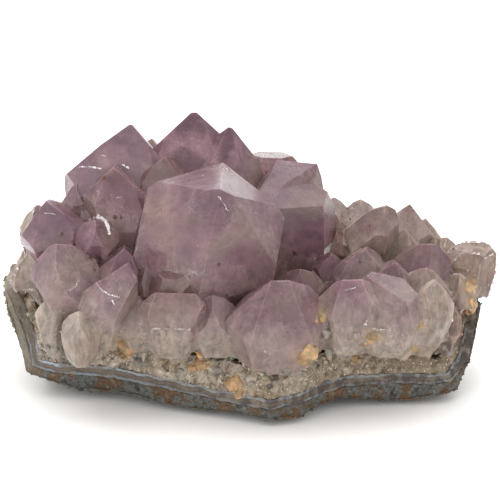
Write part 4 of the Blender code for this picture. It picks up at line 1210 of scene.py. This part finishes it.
def outside_of(tree):
    """A test of whether a point is outside a closed shape by more than a clearance."""

    def test(point, clearance):
        near, normal, _, distance = tree.find_nearest(point)
        return (point - near).dot(normal) > 0.0 and distance > clearance

    return test


def little_shapes(size):
    """Three small shapes to copy: a stubby crystal, a blocky chip and a lump."""
    shapes = []
    bpy.ops.mesh.primitive_cylinder_add(vertices=SIDES, radius=0.5 * size, depth=1.1 * size)
    bpy.ops.object.mode_set(mode="EDIT")
    bpy.ops.mesh.select_mode(type="FACE")
    for top in (1.0, -1.0):
        bpy.ops.mesh.select_all(action="DESELECT")
        builder = bmesh.from_edit_mesh(bpy.context.object.data)
        for face in builder.faces:
            face.select_set(face.normal.z * top > 0.9)
        bmesh.update_edit_mesh(bpy.context.object.data)
        bpy.ops.mesh.extrude_region_move(TRANSFORM_OT_translate={"value": (0.0, 0.0, 0.5 * top * size)})
        bpy.ops.transform.resize(value=(0.22, 0.3, 1.0))
    bpy.ops.object.mode_set(mode="OBJECT")
    shapes.append(bpy.context.object)
    dice = random.Random("chip")
    bpy.ops.mesh.primitive_cube_add(size=size)
    bpy.ops.object.mode_set(mode="EDIT")
    for _ in range(9):
        outward = Vector([dice.gauss(0.0, 1.0) for _ in range(3)]).normalized()
        cut_away(outward * size * dice.uniform(0.42, 0.56), outward)
    bpy.ops.object.mode_set(mode="OBJECT")
    shapes.append(bpy.context.object)
    bpy.ops.mesh.primitive_ico_sphere_add(subdivisions=2, radius=0.55 * size)
    lump = bpy.context.object
    apply_modifier(lump, "DISPLACE", texture=texture("CLOUDS", 0.8 * size), strength=0.5 * size, mid_level=0.6)
    shapes.append(lump)
    return shapes


def packed(name, copies):
    """One piece of many copies of small shapes, each given as a shape and its matrix."""
    outlines = {}
    corners, faces, start = [], [], 0
    for shape, matrix in copies:
        if shape.name not in outlines:
            outlines[shape.name] = corner_points(shape.data), [tuple(face.vertices) for face in shape.data.polygons]
        points, sides = outlines[shape.name]
        matrix = np.array(matrix)
        corners.append(points @ matrix[:3, :3].T + matrix[:3, 3])
        faces += [tuple(start + corner for corner in side) for side in sides]
        start += len(points)
    mesh = bpy.data.meshes.new(name)
    mesh.from_pydata(np.concatenate(corners).tolist(), [], faces)
    piece = bpy.data.objects.new(name, mesh)
    bpy.context.scene.collection.objects.link(piece)
    return piece


def turned(direction, angle):
    """A turn that points Z along a direction, after a turn about Z."""
    return direction.to_track_quat("Z", "Y").to_matrix().to_4x4() @ Matrix.Rotation(angle, 4, "Z")


def scatter(shapes, places, seed, least, most, lean=0.6, rise=0.0, tall=1.0):
    """Matrices for copies of small shapes at places: how far they lean, rise and stretch."""
    dice = random.Random(seed)
    copies = []
    for place, normal in places:
        outward = normal + Vector((0.0, 0.0, rise)) + Vector([dice.uniform(-lean, lean) for _ in range(3)])
        size = dice.uniform(least, most) * dice.uniform(0.7, 1.0)
        stretch = Matrix.Diagonal(
            (size, size * dice.uniform(0.75, 1.1), size * tall * dice.uniform(0.7, 1.3), 1.0)
        )
        turn = turned(outward.normalized(), dice.uniform(0.0, 6.3))
        copies.append((dice.choice(shapes), Matrix.Translation(place) @ turn @ stretch))
    return copies


class AMETHYST_OT_grains(bpy.types.Operator):
    """Scatter small quartz grains over the bare granular zone and the foot of the crystals"""

    bl_idname = "amethyst.grains"
    bl_label = "Quartz grains"

    def execute(self, context):
        sizes = context.scene.amethyst_sizes
        zone = bpy.data.objects["granular_zone"]
        clear_of_crystals = outside_of(tree_of(bpy.data.objects["amethyst_points"]))
        clear_of_agate = outside_of(tree_of(frame["nodes"]["agate_band"]))

        def wanted(point, normal):
            return clear_of_crystals(point, 0.2 * MM) and clear_of_agate(point, 1.0 * MM)

        shapes = little_shapes(sizes.grain_size)
        crystals = bpy.data.objects["amethyst_points"]
        wall = tree_of(frame["nodes"]["granular_quartz"])
        low, high = (Vector(corner) for corner in CAD_BOX)

        def at_foot(point, normal):
            inside = all(low[k] + 1.5 * MM < point[k] < high[k] - 1.5 * MM for k in range(3))
            return inside and wall.find_nearest(point)[3] < 2.6 * MM and normal.z < 0.75

        def inland(point, normal):
            return at_foot(point, normal) and abs(point.x) < 50.0 * MM

        kinds = (
            ("milky_grains", "#b5aa9b", 0.25, 0.3, 1.2, 11),
            ("smoky_grains", "#6e665e", 0.6, 0.2, 0.5, 12),
            ("iron_stained_grains", "#a08863", 0.4, 0.35, 0.25, 13),
        )
        for name, code, clear, rough, amount, seed in kinds:
            places = spread_over(zone, int(amount * sizes.grains), seed, wanted)
            places += spread_over(crystals, int(amount * sizes.grains), seed + 20, at_foot)
            least, most = (0.3, 0.9) if name.startswith("iron") else (0.3, 1.1)
            copies = scatter(shapes[:2], places, seed, least, most)
            if name.startswith("milky"):
                small = spread_over(crystals, sizes.grains, seed + 40, inland)
                copies += scatter(shapes[:1], small, seed, 0.5, 1.6, lean=0.45, rise=1.4, tall=2.2)
            finish_piece(packed(name, copies), grain_material(name, code, clear, rough), "granular_quartz")
        for shape in shapes:
            bpy.data.objects.remove(shape)
        return {"FINISHED"}


def along(path, step):
    """Points on a path of pixels, a step apart."""
    points = []
    for (u1, v1), (u2, v2) in zip(path, path[1:]):
        pieces = max(1, round(math.hypot(u2 - u1, v2 - v1) / step))
        points += [(u1 + (u2 - u1) * k / pieces, v1 + (v2 - v1) * k / pieces) for k in range(pieces)]
    return points + [path[-1]]


class AMETHYST_OT_lumps(bpy.types.Operator):
    """Grow the lumps of iron-stained quartz between the roots, and the dark lumps in the hollows between them, which
    are painted shade
    """

    bl_idname = "amethyst.lumps"
    bl_label = "Stained lumps"

    def execute(self, context):
        trees = [tree_of(bpy.data.objects[name]) for name in ("amethyst_points", "granular_zone")]
        bpy.ops.mesh.primitive_ico_sphere_add(subdivisions=3, radius=0.5)
        lump = context.object
        apply_modifier(
            lump, "DISPLACE", texture=texture("VORONOI", 0.45), texture_coords="LOCAL", strength=0.4, mid_level=0.6
        )
        apply_modifier(
            lump, "DISPLACE", texture=texture("CLOUDS", 0.12), texture_coords="LOCAL", strength=0.06, mid_level=0.5
        )
        alone(lump)
        bpy.ops.object.shade_smooth_by_angle(angle=math.radians(40.0))
        dice = random.Random("lumps")
        for name, code, clear, seen in (
            ("iron_stained_quartz", "#ab875a", 0.15, STAINS_SEEN_AT),
            # The dark lumps in the hollows are painted shade.
            ("smoky_quartz", "#877b70", 0.3, HOLLOWS_SEEN_AT),
        ):
            copies = []
            for u, v, radius in seen:
                for number in range(6):
                    away = 0.0 if number == 0 else radius * 0.55 / PIXEL
                    size = radius * (1.7 if number == 0 else dice.uniform(0.4, 1.0)) * MM
                    hit = first_hit(trees, u + dice.gauss(0.0, 0.6) * away, v + dice.gauss(0.0, 0.6) * away)
                    if hit:
                        place = hit[0] - hit[1] * size * 0.28
                        stretch = Matrix.Diagonal((size, size * dice.uniform(0.7, 1.0), size * 0.75, 1.0))
                        matrix = Matrix.Translation(place) @ turned(hit[1], dice.uniform(0.0, 6.3)) @ stretch
                        copies.append((lump, matrix))
            piece = packed(name, copies)
            alone(piece)
            bpy.ops.object.shade_smooth_by_angle(angle=math.radians(40.0))
            finish_piece(piece, grain_material(name, code, clear, 0.35), "granular_quartz")
        bpy.data.objects.remove(lump)
        return {"FINISHED"}


class AMETHYST_OT_marks(bpy.types.Operator):
    """Set near-white flakes on the edges as painted glints, and the brown specks on the faces, where the photograph has
    them
    """

    bl_idname = "amethyst.marks"
    # The chips in this label are near-white flakes, painted glints.
    bl_label = "Chips and specks"

    def execute(self, context):
        tree = tree_of(bpy.data.objects["amethyst_points"])
        dice = random.Random("marks")
        painted_glints = []
        for width, path in PAINTED_GLINTS_AT:
            for u, v in along(path, 1.0):
                hit = first_hit([tree], u + dice.uniform(-0.4, 0.4), v + dice.uniform(-0.4, 0.4))
                if hit and dice.random() < 0.85:
                    painted_glints.append((*hit, 0.85 * width * PIXEL * MM))
        specks = []
        for u, v, width in SPECKS_SEEN_AT:
            for _ in range(3):
                hit = first_hit([tree], u + dice.uniform(-0.8, 0.8), v + dice.uniform(-0.8, 0.8))
                if hit:
                    specks.append((*hit, width * PIXEL * MM))
        draw = random.Random("far specks")
        far = spread_over(bpy.data.objects["amethyst_points"], 40, 7, lambda point, normal: point.y > 6.0 * MM)
        specks += [(point, normal, draw.uniform(0.3, 0.7) * MM) for point, normal in far[:22]]
        # Random near-white flakes on the back are painted glints too.
        painted_glints += [(point, normal, draw.uniform(0.3, 0.9) * MM) for point, normal in far[22:]]
        shapes = little_shapes(1.0 * MM)
        for name, places, flat, material in (
            ("edge_chips", painted_glints, 0.35, painted_glint_material()),
            ("goethite_specks", specks, 0.6, speck_material()),
        ):
            copies = []
            for place, normal, width in places:
                size = width / MM * dice.uniform(0.7, 1.3)
                stretch = Matrix.Diagonal((size * dice.uniform(0.9, 1.6), size * dice.uniform(0.6, 1.0), size * flat, 1.0))
                matrix = Matrix.Translation(place) @ turned(normal, dice.uniform(0.0, 6.3)) @ stretch
                copies.append((shapes[1], matrix))
            finish_piece(packed(name, copies), material, "amethyst")
        for shape in shapes:
            bpy.data.objects.remove(shape)
        return {"FINISHED"}


class AMETHYST_OT_veils(bpy.types.Operator):
    """Seal veils of tiny fluid bubbles, the healed fractures, inside the crystals"""

    bl_idname = "amethyst.veils"
    bl_label = "Healed fractures"

    def execute(self, context):
        forms = [Form(row, bounding_planes(row), Vector()) for row in CRYSTALS if row[6] >= VEILED_FROM]
        bpy.ops.mesh.primitive_uv_sphere_add(segments=4, ring_count=2, radius=1.0)
        bubble = context.object
        cluster = tree_of(bpy.data.objects["amethyst_points"])
        deep = []
        for form in forms:
            dice = random.Random("veil " + form.name)
            for _ in range(3 if form.half < 9.0 * MM else 6):
                around = Vector([dice.gauss(0.0, 1.0) for _ in range(3)]).normalized()
                normal = (around - form.axis * around.dot(form.axis) * 0.7).normalized()
                across = normal.cross(form.axis).normalized()
                down = normal.cross(across)
                middle = form.tip - form.axis * form.half * dice.uniform(0.7, 2.0)
                middle += across * form.half * dice.uniform(-0.4, 0.4)
                radius = form.half * dice.uniform(0.25, 0.6)
                bend = dice.uniform(-0.3, 0.3) / radius
                for _ in range(int(dice.uniform(25, 60))):
                    a, b = dice.gauss(0.0, 0.45) * radius, dice.gauss(0.0, 0.7) * radius
                    place = middle + across * a + down * b + normal * (a * a + b * b) * bend
                    inside = form.outside(np.array([place[:]]))[0] < -0.8 * MM
                    if inside:
                        size = dice.uniform(0.04, 0.12) * MM
                        deep.append((place, across, down, normal, size, dice.uniform(1.0, 3.0)))
        copies = []
        for place, across, down, normal, size, longer in deep:
            near, facing, _, distance = cluster.find_nearest(place)
            if distance < 1.2 * MM or (place - near).dot(facing) > 0.0:
                continue
            turn = Matrix((across * size, down * size * longer, normal * size * 0.5)).transposed().to_4x4()
            copies.append((bubble, Matrix.Translation(place) @ turn))
        finish_piece(packed("healed_fractures", copies), bubble_material(), "amethyst")
        bpy.data.objects.remove(bubble)
        return {"FINISHED"}


class AMETHYST_OT_stage(bpy.types.Operator):
    """Lay the pale floor, and set the soft light and the camera"""

    bl_idname = "amethyst.stage"
    bl_label = "Stage"

    def execute(self, context):
        scene = context.scene
        bpy.ops.mesh.primitive_plane_add(size=6.0)
        floor = context.object
        floor.name = "floor"
        made, tree, shader, _ = new_material("matt_white_paper")
        shader.inputs["Base Color"].default_value = (*linear("#f4f3f1"), 1.0)
        shader.inputs["Roughness"].default_value = 0.9
        floor.data.materials.append(made)
        world = bpy.data.worlds.new("soft_daylight")
        world.use_nodes = True
        world.node_tree.nodes["Background"].inputs["Color"].default_value = (1.0, 1.0, 1.0, 1.0)
        world.node_tree.nodes["Background"].inputs["Strength"].default_value = 0.74
        scene.world = world
        lights = (
            ("overhead_softbox", (-0.05, 0.25, 0.80), 1.30, 12.0),
            ("back_softbox", (0.10, 1.00, 0.36), 0.50, 1.4),
            ("front_left_softbox", (-0.60, -0.65, 0.40), 1.00, 3.7),
            ("front_right_softbox", (0.70, -0.60, 0.35), 1.00, 3.5),
        )
        for name, place, size, power in lights:
            bpy.ops.object.light_add(type="AREA", location=place)
            lamp = context.object
            lamp.name = name
            lamp.data.size = size
            lamp.data.energy = power
            aim = CAMERA_TARGET - Vector(place)
            lamp.rotation_euler = aim.to_track_quat("-Z", "Y").to_euler()
        toward = Vector((0.0, -math.cos(CAMERA_ELEVATION), math.sin(CAMERA_ELEVATION)))
        bpy.ops.object.camera_add(location=CAMERA_TARGET + toward * CAMERA_DISTANCE)
        camera = context.object
        camera.rotation_euler = (-toward).to_track_quat("-Z", "Y").to_euler()
        camera.data.lens = LENS
        camera.data.sensor_width = SENSOR
        camera.data.clip_start = 0.01
        scene.camera = camera
        scene.view_settings.view_transform = "Standard"
        return {"FINISHED"}


class AMETHYST_PT_panel(bpy.types.Panel):
    """Lists the steps of the build and its settings."""

    bl_label = "Amethyst cluster"
    bl_idname = "AMETHYST_PT_panel"
    bl_space_type = "VIEW_3D"
    bl_region_type = "UI"
    bl_category = "Amethyst"

    def draw(self, context):
        for group in (context.scene.amethyst_sizes, context.scene.amethyst_colours):
            for name in group.bl_rna.properties.keys():
                if name not in ("rna_type", "name"):
                    self.layout.prop(group, name)
        for operator in OPERATORS:
            self.layout.operator(operator.bl_idname)


OPERATORS = (
    AMETHYST_OT_crystals,
    AMETHYST_OT_granular_zone,
    AMETHYST_OT_agate,
    AMETHYST_OT_rock,
    AMETHYST_OT_grains,
    AMETHYST_OT_lumps,
    AMETHYST_OT_marks,
    AMETHYST_OT_veils,
    AMETHYST_OT_stage,
)
CLASSES = (ClusterSizes, ClusterColours, *OPERATORS, AMETHYST_PT_panel)


def register():
    for made in CLASSES:
        bpy.utils.register_class(made)
    bpy.types.Scene.amethyst_sizes = bpy.props.PointerProperty(type=ClusterSizes)
    bpy.types.Scene.amethyst_colours = bpy.props.PointerProperty(type=ClusterColours)


def unregister():
    del bpy.types.Scene.amethyst_colours
    del bpy.types.Scene.amethyst_sizes
    for made in reversed(CLASSES):
        bpy.utils.unregister_class(made)


def main():
    register()
    bpy.ops.amethyst.crystals()
    bpy.ops.amethyst.granular_zone()
    bpy.ops.amethyst.agate()
    bpy.ops.amethyst.rock()
    bpy.ops.amethyst.grains()
    bpy.ops.amethyst.lumps()
    bpy.ops.amethyst.marks()
    bpy.ops.amethyst.veils()
    bpy.ops.amethyst.stage()


if __name__ == "__main__":
    main()
